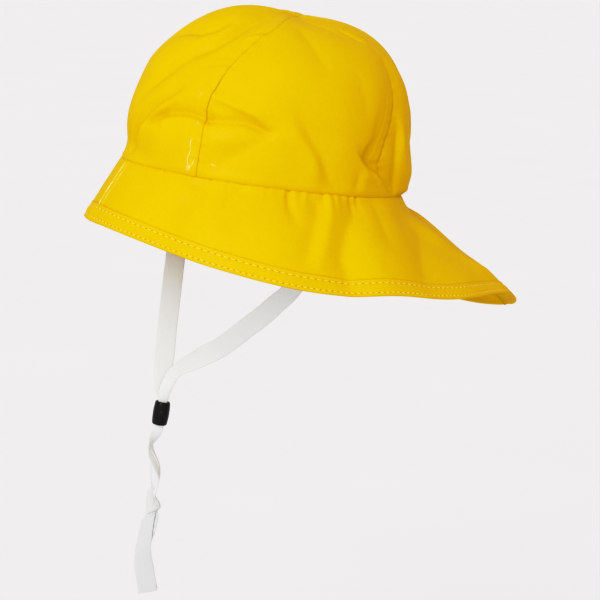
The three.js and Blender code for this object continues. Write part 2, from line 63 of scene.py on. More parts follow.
def place_camera():
    back = direction(AZIMUTH, ELEVATION)
    azimuth, roll = math.radians(AZIMUTH), math.radians(ROLL)
    level = Vector((math.cos(azimuth), math.sin(azimuth), 0))
    upright = back.cross(level)
    right = level * math.cos(roll) + upright * math.sin(roll)
    up = upright * math.cos(roll) - level * math.sin(roll)
    aside = (FRAME_PIXELS / 2 - ORIGIN_PIXEL[0]) * METRES_A_PIXEL
    below = (ORIGIN_PIXEL[1] - FRAME_PIXELS / 2) * METRES_A_PIXEL
    data = bpy.data.cameras.new("camera")
    data.sensor_width = SENSOR
    data.lens = DISTANCE / METRES_A_PIXEL * SENSOR / FRAME_PIXELS
    camera = bpy.data.objects.new("camera", data)
    scene.collection.objects.link(camera)
    turn = Matrix((right, up, back)).transposed().to_4x4()
    camera.matrix_world = Matrix.Translation(right * aside + up * below + back * DISTANCE) @ turn
    scene.camera = camera


place_camera()


# Straps. Rows are x, y, z, the compass turn of the flat side, and width and thickness as shares.
STRAP_RIGHT_ROUTE = [
    (-81.7, -27.8, 1.8, 104, 1, 1), (-82, -27.9, -6, 104, 1, 1), (-83.2, -28.3, -24, 99, 1, 1),
    (-84.9, -28.9, -48, 86, 1, 1), (-86.5, -29.7, -76, 73, 1, 1), (-87.4, -30.7, -103, 68, 1, 1),
    (-87.9, -31.6, -126, 68, 1, 1), (-88.4, -31.8, -145, 68, 1, 1), (-88.9, -32.2, -158, 68, 0.92, 1),
    (-89, -32.2, -168, 68, 0.72, 1.3),
]
STRAP_LEFT_ROUTE = [
    (84.4, 13.6, -0.6, 97, 1, 1), (84.2, 13.6, -8, 97, 1, 1), (82.6, 13.6, -20, 96, 1, 1),
    (77.6, 12.4, -40, 94, 1, 1), (68, 10, -58, 90, 1, 1), (53, 6.5, -73.5, 84, 1, 1),
    (38, 3.1, -84.6, 76, 1, 1), (22.7, -0.2, -95.8, 70, 1, 1), (4.1, -4.4, -107.9, 68, 1, 1),
    (-14.3, -8.4, -120.1, 66, 1, 1), (-31, -12, -130, 60, 1, 1), (-47, -16, -138, 40, 1, 1),
    (-61, -19.4, -145, 5, 0.95, 1), (-73, -23.4, -151.6, -8, 0.9, 1),
    (-80.6, -27.4, -159.5, 20, 0.8, 1.1), (-84.5, -30.2, -169, 50, 0.62, 1.4),
]
PAIR_ROUTE = [
    (-87.6, -30.7, -178.5, 68, 0.46, 2.1), (-87.8, -31.1, -184, 68, 0.4, 2.3),
    (-88.2, -32, -194, 68, 0.4, 2.3),
]
LOCK_AT, LOCK_LEAN, LOCK_LENGTH = (-88, -31.55, -189), (-5, 2.2), 17.5
KNOT_AT = (-88.6, -33.1, -256.5)
# Below the lock, rows are the height over the knot, the place across and towards the camera's
# side, and the turn, width and thickness of the ribbon as above.
TWIST_LEFT = [
    (56, -0.1, 0.9, 68, 0.52, 1.4), (51.5, -1.2, 0.8, 88, 0.5, 1.3), (47.5, -2.9, 0.8, 112, 0.48, 1.3),
    (44, -4.2, 0.9, 132, 0.46, 1.3), (40, -4.1, 1.1, 128, 0.46, 1.3), (34.5, -2.4, 1.5, 122, 0.5, 1.3),
    (27.5, 1.1, 1.7, 128, 0.5, 1.3), (22.4, 3, 1.4, 143, 0.48, 1.3), (18, 3.5, 1, 158, 0.46, 1.3),
    (12.5, 1.8, 0.8, 180, 0.4, 1.3), (7, -0.2, 0.5, 200, 0.32, 1.4), (3, -0.6, 0.3, 210, 0.3, 1.4),
]
TWIST_RIGHT = [
    (56, -0.1, -0.9, 68, 0.52, 1.4), (51.5, -1.2, -0.8, 86, 0.48, 1.3), (47.5, -2.7, -0.8, 108, 0.44, 1.3),
    (44, -3.9, -0.8, 130, 0.42, 1.3), (40, -4, -1, 158, 0.36, 1.3), (35.5, -2.7, -1.1, 190, 0.36, 1.3),
    (31, -1.2, -1, 212, 0.4, 1.3), (24.5, 0, -0.7, 234, 0.46, 1.3), (16, 0.2, -0.5, 246, 0.42, 1.3),
    (10, -0.9, -0.3, 248, 0.31, 1.5), (6, -1, -0.2, 248, 0.3, 1.5), (2, -1, -0.2, 248, 0.3, 1.5),
]
TAIL_FRONT = [
    (-6, -0.9, 0.8, 68, 0.3, 1.4), (-9.6, -0.7, 0.9, 68, 0.42, 1.2), (-14, -1.9, 0.7, 68, 0.52, 1.1),
    (-18, -2.8, 0.6, 68, 0.62, 1), (-25, -3.6, 0.5, 70, 0.7, 1), (-33, -4.2, 0.4, 74, 0.74, 1),
    (-39.5, -4.3, 0.4, 79, 0.82, 1), (-47.5, -3.4, 0.4, 83, 0.95, 1), (-55.5, -1.7, 0.4, 84, 1, 1),
    (-64.5, 0.2, 0.4, 84, 1, 1), (-69.5, 1.1, 0.4, 84, 1, 1),
]
TAIL_BACK = [
    (-6, 0.4, -0.8, 68, 0.3, 1.4), (-9.6, 1.7, -0.8, 60, 0.4, 1.2), (-14, 1.2, -0.9, 56, 0.46, 1.1),
    (-18, 0.3, -0.9, 58, 0.52, 1), (-25, -2.1, -0.9, 66, 0.62, 1), (-33, -4.4, -0.9, 74, 0.72, 1),
    (-39.5, -4.7, -0.9, 79, 0.8, 1), (-47.5, -3.9, -0.9, 83, 0.92, 1), (-55.5, -2, -0.9, 84, 1, 1),
    (-64.5, 0.2, -0.9, 84, 1, 1), (-68.5, 1.4, -0.9, 84, 1, 1),
]
# The knot: height, left and right edge, and half its depth
KNOT_BAND = [
    (10.6, -2.3, 0.5, 0.7), (9.6, -2.9, 1.1, 1.2), (8, -3.7, 1.4, 1.8), (6, -4.25, 1.5, 2.4),
    (4.3, -4.52, 1.6, 2.8), (2.5, -4.7, 2.1, 3.2), (0.6, -4.75, 2.9, 3.5), (-1.2, -4.7, 3.9, 3.8),
    (-2.7, -4.58, 5.1, 3.9), (-3.7, -4.5, 6.3, 3.9), (-4.5, -4.4, 5.9, 3.9), (-5.3, -4.3, 5, 3.8),
    (-6.2, -4.2, 3.8, 3.7), (-7, -4.1, 2.5, 3.5), (-7.8, -4, 1, 3.2), (-8.6, -3.9, -0.6, 2.7),
    (-9.2, -3.7, -1.8, 2), (-9.6, -3.3, -2.4, 1),
]
KNOT_LOOP = [
    (5, 0.2, 1.2, 0.5), (4, -0.3, 2, 1.2), (2.6, -0.5, 3.1, 1.9), (0.8, -0.5, 4.5, 2.5),
    (-1, -0.5, 5.6, 2.8), (-2.8, -0.5, 6.2, 2.8), (-4.4, -0.8, 6.1, 2.6), (-6, -1.6, 4.9, 2.4),
    (-7.5, -2.4, 3.4, 2.2), (-9, -2.8, 2.5, 2), (-10.6, -2.4, 2.3, 1.6), (-11.6, -1.4, 1.9, 0.8),
]


def layered(rows, layer):
    """Rows with the side of the pair they lie on: -1, 0 or 1."""
    return [(*row, layer) for row in rows]


def from_knot(across, toward, height):
    """Place in the frame of a point given from the knot, across and towards the camera's side."""
    side, front = math.radians(AZIMUTH - 90), math.radians(AZIMUTH)
    x = KNOT_AT[0] - across * math.sin(side) + toward * math.sin(front)
    y = KNOT_AT[1] + across * math.cos(side) - toward * math.cos(front)
    return x, y, KNOT_AT[2] + height


def at_knot(rows):
    return [(*from_knot(across, toward, height), *rest, 0) for height, across, toward, *rest in rows]


def through(rows, steps):
    """Smooth stations through the rows of a route, steps to each row."""
    rows = np.array(rows, float)
    ends = np.vstack([rows[:1], rows, rows[-1:]])
    share = (np.arange(steps) / steps)[:, None]
    left = 1 - share
    spans = []
    for before, start, end, after in zip(ends, ends[1:], ends[2:], ends[3:]):
        values = start * (1 + 2 * share) * left**2 + end * (1 + 2 * left) * share**2
        slopes = (end - before) / 2 * share * left**2 - (after - start) / 2 * left * share**2
        spans.append(values + slopes)
    return np.vstack([*spans, rows[-1:]])


def unit(vectors):
    return vectors / np.maximum(np.linalg.norm(vectors, axis=-1, keepdims=True), 1e-12)


def run_along(points):
    """Length run along a line of points, up to each of them."""
    steps = np.linalg.norm(np.diff(points, axis=0), axis=-1)
    return np.concatenate([0 * steps[:1], np.cumsum(steps, axis=0)])


def wrapped(turn):
    """The same turn in degrees, between -180 and 180."""
    return (turn + 180) % 360 - 180


def bell(value, middle, width, power=2):
    """1 in the middle, and less and less beyond this width on each side."""
    return np.exp(-(np.abs((value - middle) / width) ** power))


def smoothstep(value, low, high):
    """From 0 at low to 1 at high, level at both."""
    share = np.clip((value - low) / (high - low), 0, 1)
    return share * share * (3 - 2 * share)


def make_mesh(name, places, faces, material, uv=None, attributes=None):
    """Mesh object from places in millimetres; uv and attributes are one value to a vertex."""
    mesh = bpy.data.meshes.new(name)
    mesh.from_pydata((np.asarray(places) * MM).tolist(), [], faces)
    mesh.validate()
    solid = bmesh.new()
    solid.from_mesh(mesh)
    if solid.calc_volume(signed=True) < 0:
        bmesh.ops.reverse_faces(solid, faces=solid.faces)
        solid.to_mesh(mesh)
    solid.free()
    mesh.polygons.foreach_set("use_smooth", np.ones(len(mesh.polygons), bool))
    if uv is not None:
        layer = mesh.uv_layers.new(name="UVMap")
        corner = np.zeros(len(mesh.loops), np.int64)
        mesh.loops.foreach_get("vertex_index", corner)
        layer.data.foreach_set("uv", np.asarray(uv, np.float32)[corner].ravel())
    for key, values in (attributes or {}).items():
        attribute = mesh.attributes.new(key, "FLOAT", "POINT")
        attribute.data.foreach_set("value", np.asarray(values, np.float32).ravel())
    mesh.materials.append(material)
    thing = bpy.data.objects.new(name, mesh)
    scene.collection.objects.link(thing)
    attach(thing, "root")
    return thing


def grid_faces(rows, columns, closed=False):
    """Quads of a grid of rows by columns, whose columns join up if closed."""
    faces = []
    across = columns if closed else columns - 1
    for row in range(rows - 1):
        for column in range(across):
            beside = (column + 1) % columns
            low, high = row * columns, (row + 1) * columns
            faces.append((low + column, low + beside, high + beside, high + column))
    return faces


# Ribbon section: places across it from edge to edge, how far a ribbon of half width 1 curls for a
# share of its width, the rounding of its edge and the groove beside it, as shares of half its width
ACROSS = np.linspace(-1, 1, 33)
CURLS = np.linspace(0.02, 2.9, 200)
CURL_SHARES = np.where(CURLS < math.pi / 2, np.sin(CURLS) / CURLS, 1 / CURLS)
EDGE_ROUND, SELVEDGE_AT, SELVEDGE_WIDTH, SELVEDGE_DEPTH = 0.07, 0.86, 0.04, 0.12
LEAST_CURL, ROUTE_STEPS = 0.12, 12


def ribbon(name, rows, material):
    """Closed flat ribbon that follows a route, curled across where it is narrower than itself."""
    stations = through(rows, ROUTE_STEPS)
    centre, turn = stations[:, :3], np.radians(stations[:, 3])
    share, depth, layer = stations[:, 4], stations[:, 5] * STRAP_THICKNESS, stations[:, 6]
    along = unit(np.gradient(centre, axis=0))
    face = np.stack([np.sin(turn), -np.cos(turn), 0 * turn], -1)
    across = unit(np.cross(along, face))
    proud = np.cross(across, along)
    centre = centre + proud * (layer * (depth + STRAP_CLEARANCE) / 2)[:, None]
    curl = np.interp(-share, -CURL_SHARES, CURLS)[:, None]
    radius = STRAP_WIDTH / 2 / curl
    wide, high = radius * np.sin(curl * ACROSS), radius * np.cos(curl * ACROSS)
    top, bottom = high.max(1, keepdims=True), high.min(1, keepdims=True)
    room = np.maximum(depth - RIBBON_THICKNESS, LEAST_CURL)[:, None]
    high = (high - (top + bottom) / 2) * np.minimum(1, room / np.maximum(top - bottom, 1e-6))
    slope_wide, slope_high = np.gradient(wide, axis=1), np.gradient(high, axis=1)
    size = np.hypot(slope_wide, slope_high)
    normal_wide, normal_high = -slope_high / size, slope_wide / size
    edge = np.clip((np.abs(ACROSS) - 1 + EDGE_ROUND) / EDGE_ROUND, 0, 0.98)
    half = RIBBON_THICKNESS / 2 - SELVEDGE_DEPTH * bell(np.abs(ACROSS), SELVEDGE_AT, SELVEDGE_WIDTH)
    half = half * np.sqrt(1 - edge**2)
    run = run_along(centre)[:, None]
    rings, uv = [], []
    for sign, order in ((1, slice(None)), (-1, slice(None, None, -1))):
        x = (wide + sign * half * normal_wide)[:, order]
        y = (high + sign * half * normal_high)[:, order]
        rings.append(centre[:, None] + across[:, None] * x[..., None] + proud[:, None] * y[..., None])
        uv.append(np.stack(np.broadcast_arrays(ACROSS[order] * STRAP_WIDTH / 2, run), -1) * MM)
    places = np.concatenate(rings, 1)
    rows_made, columns = places.shape[:2]
    faces = grid_faces(rows_made, columns, closed=True)
    last = (rows_made - 1) * columns
    for k in range(len(ACROSS) - 1):
        far = columns - 1 - k
        faces.append((k + 1, k, far, far - 1))
        faces.append((last + k, last + k + 1, last + far - 1, last + far))
    uv = np.concatenate(uv, 1).reshape(-1, 2)
    thing = make_mesh(name, places.reshape(-1, 3), faces, material, uv)
    return thing, centre


# Materials
def node_material(name, **values):
    material = bpy.data.materials.new(name)
    material.use_nodes = True
    shader = material.node_tree.nodes["Principled BSDF"]
    for key, value in values.items():
        shader.inputs[key.replace("_", " ")].default_value = value
    return material, material.node_tree, shader


def object_place(tree):
    return tree.nodes.new("ShaderNodeTexCoord").outputs["Object"]


def attribute(tree, name):
    node = tree.nodes.new("ShaderNodeAttribute")
    node.attribute_name = name
    return node.outputs["Fac"]


def noise(tree, vector, scale, detail):
    node = tree.nodes.new("ShaderNodeTexNoise")
    node.inputs["Scale"].default_value = scale
    node.inputs["Detail"].default_value = detail
    tree.links.new(vector, node.inputs["Vector"])
    return node.outputs["Fac"]


def ramp(tree, source, low, high, to_low, to_high):
    node = tree.nodes.new("ShaderNodeMapRange")
    for key, value in zip(("From Min", "From Max", "To Min", "To Max"), (low, high, to_low, to_high)):
        node.inputs[key].default_value = value
    tree.links.new(source, node.inputs["Value"])
    return node.outputs["Result"]


def math_node(tree, operation, *sources):
    node = tree.nodes.new("ShaderNodeMath")
    node.operation = operation
    for socket, source in zip(node.inputs, sources):
        if isinstance(source, (int, float)):
            socket.default_value = source
        else:
            tree.links.new(source, socket)
    return node.outputs["Value"]


def mix_colour(tree, factor, first, second):
    node = tree.nodes.new("ShaderNodeMix")
    node.data_type = "RGBA"
    for socket, source in (("Factor", factor), ("A", first), ("B", second)):
        target = next(s for s in node.inputs if s.name == socket and s.enabled)
        if isinstance(source, tuple):
            target.default_value = source
        else:
            tree.links.new(source, target)
    return next(s for s in node.outputs if s.enabled)


def bump(tree, height, strength, distance, normal=None):
    node = tree.nodes.new("ShaderNodeBump")
    node.inputs["Strength"].default_value = strength
    node.inputs["Distance"].default_value = distance
    tree.links.new(height, node.inputs["Height"])
    if normal is not None:
        tree.links.new(normal, node.inputs["Normal"])
    return node.outputs["Normal"]


def cloth_material():
    material, tree, shader = node_material(
        "coated_cloth", IOR=1.03, Specular_IOR_Level=0.3, Specular_Tint=(1, 0.8, 0.05, 1),
        Coat_Weight=0.02, Coat_Roughness=0.2,
    )
    place = object_place(tree)
    cloudy = ramp(tree, noise(tree, place, 22, 3), 0.3, 0.7, 0, 1)
    yellow = mix_colour(tree, cloudy, (0.64, 0.425, 0, 1), (0.67, 0.45, 0, 1))
    fine = ramp(tree, noise(tree, place, 420, 2), 0.35, 0.65, 0, 0.12)
    grained = mix_colour(tree, fine, yellow, (0.57, 0.355, 0, 1))
    # Pale streaks along the seams where the vertex attribute is set: the pale colour is a painted highlight,
    # and the lower roughness below is real gloss.
    away = math_node(tree, "ABSOLUTE", attribute(tree, "line"))
    ragged = ramp(tree, noise(tree, place, 700, 2), 0.3, 0.7, 0.12, 0.42)
    thin = math_node(tree, "SUBTRACT", 1, math_node(tree, "DIVIDE", away, ragged))
    thin = ramp(tree, thin, 0, 0.5, 0, 1)
    gloss_and_painted_highlight = math_node(tree, "MULTIPLY", thin, attribute(tree, "glossy_painted_highlight"))
    colour = mix_colour(tree, gloss_and_painted_highlight, grained, (0.9, 0.78, 0.5, 1))
    tree.links.new(colour, shader.inputs["Base Color"])
    worn = ramp(tree, noise(tree, place, 60, 4), 0.3, 0.7, 0.40, 0.52)
    rough = math_node(tree, "SUBTRACT", worn, math_node(tree, "MULTIPLY", gloss_and_painted_highlight, 0.2))
    tree.links.new(rough, shader.inputs["Roughness"])
    weave = noise(tree, place, 1500, 1)
    skin = noise(tree, place, 330, 3)
    first = bump(tree, weave, 0.18, 0.0002)
    tree.links.new(bump(tree, skin, 0.16, 0.0005, first), shader.inputs["Normal"])
    return material


def thread_material():
    material, tree, shader = node_material("thread", Roughness=0.55, Sheen_Weight=0.2)
    place = object_place(tree)
    spun = ramp(tree, noise(tree, place, 900, 2), 0.35, 0.65, 0, 1)
    colour = mix_colour(tree, spun, (0.74, 0.53, 0.03, 1), (0.84, 0.62, 0.12, 1))
    tree.links.new(colour, shader.inputs["Base Color"])
    tree.links.new(bump(tree, noise(tree, place, 2500, 1), 0.3, 0.0002), shader.inputs["Normal"])
    return material


# Dark orange for the needle holes along the hem: painted shade in them.
def painted_hole_shade_material():
    material, tree, shader = node_material("painted_hole_shade", Roughness=0.7, Specular_IOR_Level=0.1)
    place = object_place(tree)
    cloudy = ramp(tree, noise(tree, place, 300, 2), 0.35, 0.65, 0, 1)
    colour = mix_colour(tree, cloudy, (0.42, 0.17, 0, 1), (0.56, 0.28, 0, 1))
    tree.links.new(colour, shader.inputs["Base Color"])
    return material


def elastic_material(name, dull, bright, faded):
    material, tree, shader = node_material(
        name, Specular_IOR_Level=0.2, Sheen_Weight=0.1, Sheen_Roughness=0.5
    )
    uv = tree.nodes.new("ShaderNodeTexCoord").outputs["UV"]
    place = object_place(tree)
    parts = tree.nodes.new("ShaderNodeSeparateXYZ")
    tree.links.new(uv, parts.inputs["Vector"])
    across = math_node(tree, "SINE", math_node(tree, "MULTIPLY", parts.outputs["X"], 5600))
    along = math_node(tree, "SINE", math_node(tree, "MULTIPLY", parts.outputs["Y"], 7800))
    knit = math_node(tree, "ADD", across, math_node(tree, "MULTIPLY", along, 0.6))
    shade = ramp(tree, knit, -1.6, 1.6, 0, 1)
    cloudy = ramp(tree, noise(tree, place, 60, 3), 0.3, 0.7, 0, 0.5)
    base = mix_colour(tree, shade, dull, bright)
    tree.links.new(mix_colour(tree, cloudy, base, faded), shader.inputs["Base Color"])
    rough = ramp(tree, noise(tree, place, 300, 2), 0.3, 0.7, 0.72, 0.9)
    tree.links.new(rough, shader.inputs["Roughness"])
    tree.links.new(bump(tree, knit, 0.22, 0.0001), shader.inputs["Normal"])
    return material


def lock_material():
    material, tree, shader = node_material(
        "lock_plastic", Specular_IOR_Level=0.13, Coat_Weight=0.06, Coat_Roughness=0.1
    )
    place = object_place(tree)
    cloudy = ramp(tree, noise(tree, place, 260, 3), 0.35, 0.65, 0, 1)
    colour = mix_colour(tree, cloudy, (0.004, 0.004, 0.0045, 1), (0.01, 0.0095, 0.009, 1))
    tree.links.new(colour, shader.inputs["Base Color"])
    rough = ramp(tree, noise(tree, place, 500, 3), 0.3, 0.7, 0.22, 0.36)
    tree.links.new(rough, shader.inputs["Roughness"])
    tree.links.new(bump(tree, noise(tree, place, 900, 2), 0.08, 0.0002), shader.inputs["Normal"])
    return material


cloth, thread, painted_hole_shade = cloth_material(), thread_material(), painted_hole_shade_material()
elastic = elastic_material(
    "elastic", (0.615, 0.627, 0.62, 1), (0.695, 0.71, 0.707, 1), (0.655, 0.675, 0.655, 1)
)
# A darker copy of the elastic for the knot and the tails: painted shade.
elastic_painted_shade = elastic_material(
    "elastic_darker_for_shade", (0.545, 0.558, 0.558, 1), (0.625, 0.64, 0.645, 1), (0.59, 0.605, 0.6, 1)
)
black_plastic = lock_material()

# Cords: two straps that meet in the lock, twist together down to the knot, and leave it as tails
right_rows = layered(STRAP_RIGHT_ROUTE, 0) + layered(PAIR_ROUTE, -1) + at_knot(TWIST_RIGHT)
left_rows = layered(STRAP_LEFT_ROUTE, 0) + layered(PAIR_ROUTE, 1) + at_knot(TWIST_LEFT)
strap_right, right_path = ribbon("strap_right_ribbon", right_rows, elastic)
strap_left, left_path = ribbon("strap_left_ribbon", left_rows, elastic)
# The tails, like the knot, take the darker copy of the elastic: painted shade.
tail_front, _ = ribbon("strap_tail_front_ribbon", at_knot(TAIL_FRONT), elastic_painted_shade)
tail_back, _ = ribbon("strap_tail_back_ribbon", at_knot(TAIL_BACK), elastic_painted_shade)
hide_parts("strap_right")
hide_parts("strap_left")
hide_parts("strap_tail_front")
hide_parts("strap_tail_back")


# Radii of the lock, its rounded edge, and the groove on each side of its middle, as depth, place
# and width; then the button: radius, height, depth of the groove round it, turn and rise
LOCK_BORE, LOCK_RIM, LOCK_BELLY, LOCK_EDGE, LOCK_SIDES = 4, 5.45, 6.1, 0.9, 64
LOCK_GROOVE, GROOVE_RISE, GROOVE_SPREAD = 0.18, 0.12, 0.03
BUTTON_RADIUS, BUTTON_HEIGHT, BUTTON_GROOVE, BUTTON_TURN, BUTTON_RISE = 1.9, 0.35, 0.25, 14, 0.4
# Sides and rows of the knot, and the crease beside its left edge: depth, place and width
KNOT_SIDES, KNOT_STEPS, KNOT_CREASE, CREASE_PLACE, CREASE_SPREAD = 48, 6, 0.35, 0.8, 0.5


def lock_profile():
    """Radius and height, from the bore round both rims."""
    half, edge = LOCK_LENGTH / 2, LOCK_EDGE
    profile = [(LOCK_BORE, edge - half)]
    for turn in np.radians(np.linspace(180, 270, 6)):
        profile.append((LOCK_BORE + edge / 2 * (1 + math.cos(turn)), edge * (1 + math.sin(turn)) - half))
    for turn in np.radians(np.linspace(-90, 0, 7)):
        profile.append((LOCK_RIM - edge * (1 - math.cos(turn)), edge * (1 + math.sin(turn)) - half))
    upper = [(radius, -height) for radius, height in profile[::-1]]
    for rise in np.linspace(-0.85, 0.85, 23):
        swell = (1 - abs(rise) ** 1.5) * (LOCK_BELLY - LOCK_RIM)
        swell = swell - LOCK_GROOVE * bell(abs(rise), GROOVE_RISE, GROOVE_SPREAD)
        profile.append((LOCK_RIM + swell, rise * half))
    return np.array(profile + upper)


def cord_lock():
    """Barrel with a soft ridge round its middle, rounded rims, an open bore and a round button."""
    angles = np.arange(LOCK_SIDES) * 2 * math.pi / LOCK_SIDES
    radius, height = np.split(lock_profile(), 2, axis=1)
    rings = np.stack([radius * np.cos(angles), radius * np.sin(angles), height + 0 * angles], -1)
    faces = grid_faces(len(rings), LOCK_SIDES, closed=True)
    last = (len(rings) - 1) * LOCK_SIDES
    for k in range(LOCK_SIDES):
        beside = (k + 1) % LOCK_SIDES
        faces.append((k, last + k, last + beside, beside))
    places = rings.reshape(-1, 3)
    turn = np.degrees(np.arctan2(places[:, 1], places[:, 0])) - (AZIMUTH - 90 + BUTTON_TURN)
    away = np.hypot(np.radians(wrapped(turn)) * LOCK_BELLY, places[:, 2] - BUTTON_RISE)
    outer = np.hypot(places[:, 0], places[:, 1]) > LOCK_RIM - 0.2
    button = BUTTON_HEIGHT * (away < BUTTON_RADIUS) - BUTTON_GROOVE * bell(away, BUTTON_RADIUS + 0.2, 0.35)
    places = places + unit(places * (1, 1, 0)) * (outer * button)[:, None]
    lean_x, lean_y = map(math.radians, LOCK_LEAN)
    lean = Matrix.Rotation(lean_x, 3, "X") @ Matrix.Rotation(lean_y, 3, "Y")
    thing = make_mesh("cord_lock_barrel", places @ np.array(lean).T + LOCK_AT, faces, black_plastic)
    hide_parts("cord_lock")
    return thing


def knot_form(name, table, square):
    """Closed form lofted through rows of height, left and right edge and half depth."""
    rows = through(table, KNOT_STEPS)
    turns = np.arange(KNOT_SIDES) * 2 * math.pi / KNOT_SIDES
    wide = np.sign(np.cos(turns)) * np.abs(np.cos(turns)) ** (2 / square)
    deep = np.sign(np.sin(turns)) * np.abs(np.sin(turns)) ** (2 / square)
    height, left, right, depth = np.split(rows, 4, axis=1)
    across = (left + right) / 2 + (right - left) / 2 * wide
    crease = KNOT_CREASE * bell(across - left, CREASE_PLACE, CREASE_SPREAD)
    toward = depth * deep - crease * (deep > 0.3) * (depth > 1.5)
    height = height + 0 * across
    places = np.stack(from_knot(across, toward, height), -1)
    faces = grid_faces(len(rows), KNOT_SIDES, closed=True)
    faces.append(tuple(range(KNOT_SIDES))[::-1])
    faces.append(tuple(range((len(rows) - 1) * KNOT_SIDES, len(rows) * KNOT_SIDES)))
    uv = np.stack([across, height], -1) * MM
    thing = make_mesh(name, places.reshape(-1, 3), faces, elastic_painted_shade, uv.reshape(-1, 2))
    return thing


def knot():
    """The tied knot: a wide band drawn over a tucked loop."""
    band = knot_form("strap_knot_wrap", KNOT_BAND, 2.4)
    loop = knot_form("strap_knot_core", KNOT_LOOP, 2.2)
    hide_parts("strap_knot")
    return band, loop


lock = cord_lock()
knot_wrap, knot_core = knot()

# Crown and brim, close to those of the solids; these values are for the front, side and back
MERIDIAN = {
    "roundness": (3.4, 2.3, 3.1),
    "fullness": (3, 3.3, 2.7),
    "swell": (0.018, -0.01, 0.026),
    "puff": (0.059, 0, 0.036),
}
SWELL_TOP, SEAM_PULL, ROW_CROWDING, LEVEL_FROM, LEVEL_AT = 0.6, 0.6, 1.7, 0.85, 0.95
# Turn, growth from the front's length to the back's, and slope at the seam and at the edge
BRIM_SECTIONS = [
    (0, 0.023, 60.5, 68), (30, 0.07, 62.5, 70.5), (60, 0.202, 61, 68.5), (90, 0.342, 57, 61),
    (120, 0.423, 49.5, 48), (150, 0.631, 45, 37), (180, 1, 34, 27),
]
TIP_FOLDS = [(161, 15, 0.9), (-170, 25, -1.85)]


def around(angle, name):
    """A value of the meridian at this angle, between those at the front, side and back."""
    front, side, back = MERIDIAN[name]
    mean, lean, pinch = (front + 2 * side + back) / 4, (front - back) / 2, (front - 2 * side + back) / 4
    return mean + lean * np.cos(angle) + pinch * np.cos(2 * angle)


def smooth_crown(angle, climb):
    """Places of the crown before it is folded."""
    angle, climb = np.broadcast_arrays(np.asarray(angle, float), np.clip(climb, 0, 1))
    rise = climb**ROW_CROWDING
    turn = rise / (rise + (1 - climb) ** ROW_CROWDING) * math.pi / 2
    height = np.sin(turn) ** (2 / around(angle, "fullness"))
    radius = np.maximum(np.cos(turn), 0) ** (2 / around(angle, "roundness"))
    radius = radius + around(angle, "swell") * np.sin(math.pi * np.minimum(height / SWELL_TOP, 1))
    puff = around(angle, "puff") * np.maximum(4 * radius * (1 - radius), 0) * height**4
    puff = puff * (1 - SEAM_PULL * np.sin(2 * angle) ** 2)
    x = HEAD_WIDTH / 2 * np.sin(angle) * radius
    y = -HEAD_LENGTH / 2 * np.cos(angle) * radius + APEX_SETBACK * height**SETBACK_CURVE
    return np.stack([x, y, CROWN_HEIGHT * (height + puff)], -1)


# A mirrored row before the front and after the back keeps the curve level there
SECTION_STEPS, BRIM_STEPS, NORMAL_STEP = 30, 8, 0.004
BEFORE_FRONT, PAST_BACK = (-30, *BRIM_SECTIONS[1][1:]), (210, *BRIM_SECTIONS[-2][1:])
SECTION_TABLE = through([BEFORE_FRONT, *BRIM_SECTIONS, PAST_BACK], SECTION_STEPS)
SECTION_TABLE = SECTION_TABLE[SECTION_STEPS:-SECTION_STEPS]


def brim_section(angle):
    """Length of the brim, and its slope at the seam and at the edge, at this angle."""
    turn = np.abs(wrapped(np.degrees(angle)))
    turns, *columns = SECTION_TABLE.T
    growth, at_seam, at_edge = (np.interp(turn, turns, column) for column in columns)
    return BRIM_FRONT + (BRIM_BACK - BRIM_FRONT) * growth, np.radians(at_seam), np.radians(at_edge)


def smooth_brim(angle, reach):
    """Places of the brim before it is folded."""
    angle, reach = np.broadcast_arrays(np.asarray(angle, float), np.asarray(reach, float))
    length, at_seam, at_edge = brim_section(angle)
    out, down, lift = 0, 0, 0
    for step in range(BRIM_STEPS):
        slope = at_seam + (at_edge - at_seam) * reach * (step + 0.5) / BRIM_STEPS
        out = out + length * reach * np.cos(slope) / BRIM_STEPS
        down = down + length * reach * np.sin(slope) / BRIM_STEPS
    for middle, spread, height in TIP_FOLDS:
        lift = lift + height * bell(wrapped(np.degrees(angle) - middle), 0, spread)
    outward = unit(np.stack([np.sin(angle) / HEAD_WIDTH, -np.cos(angle) / HEAD_LENGTH], -1))
    x = HEAD_WIDTH / 2 * np.sin(angle) + outward[..., 0] * out
    y = -HEAD_LENGTH / 2 * np.cos(angle) + outward[..., 1] * out
    return np.stack([x, y, TIP_ROLL * lift * reach**3 - down], -1)


def outward_normal(surface, angle, along):
    """Normals of a smooth surface; the crown's turn upright towards its apex."""
    side = surface(angle + NORMAL_STEP, along) - surface(angle - NORMAL_STEP, along)
    low, high = np.maximum(along - NORMAL_STEP, 0), np.minimum(along + NORMAL_STEP, 0.995)
    normal = unit(np.cross(side, surface(angle, high) - surface(angle, low)))
    if surface is smooth_brim:
        return -normal
    near = smoothstep(along, LEVEL_FROM, LEVEL_AT)[..., None]
    return unit(normal * (1 - near) + np.array([0, 0, 1]) * near)


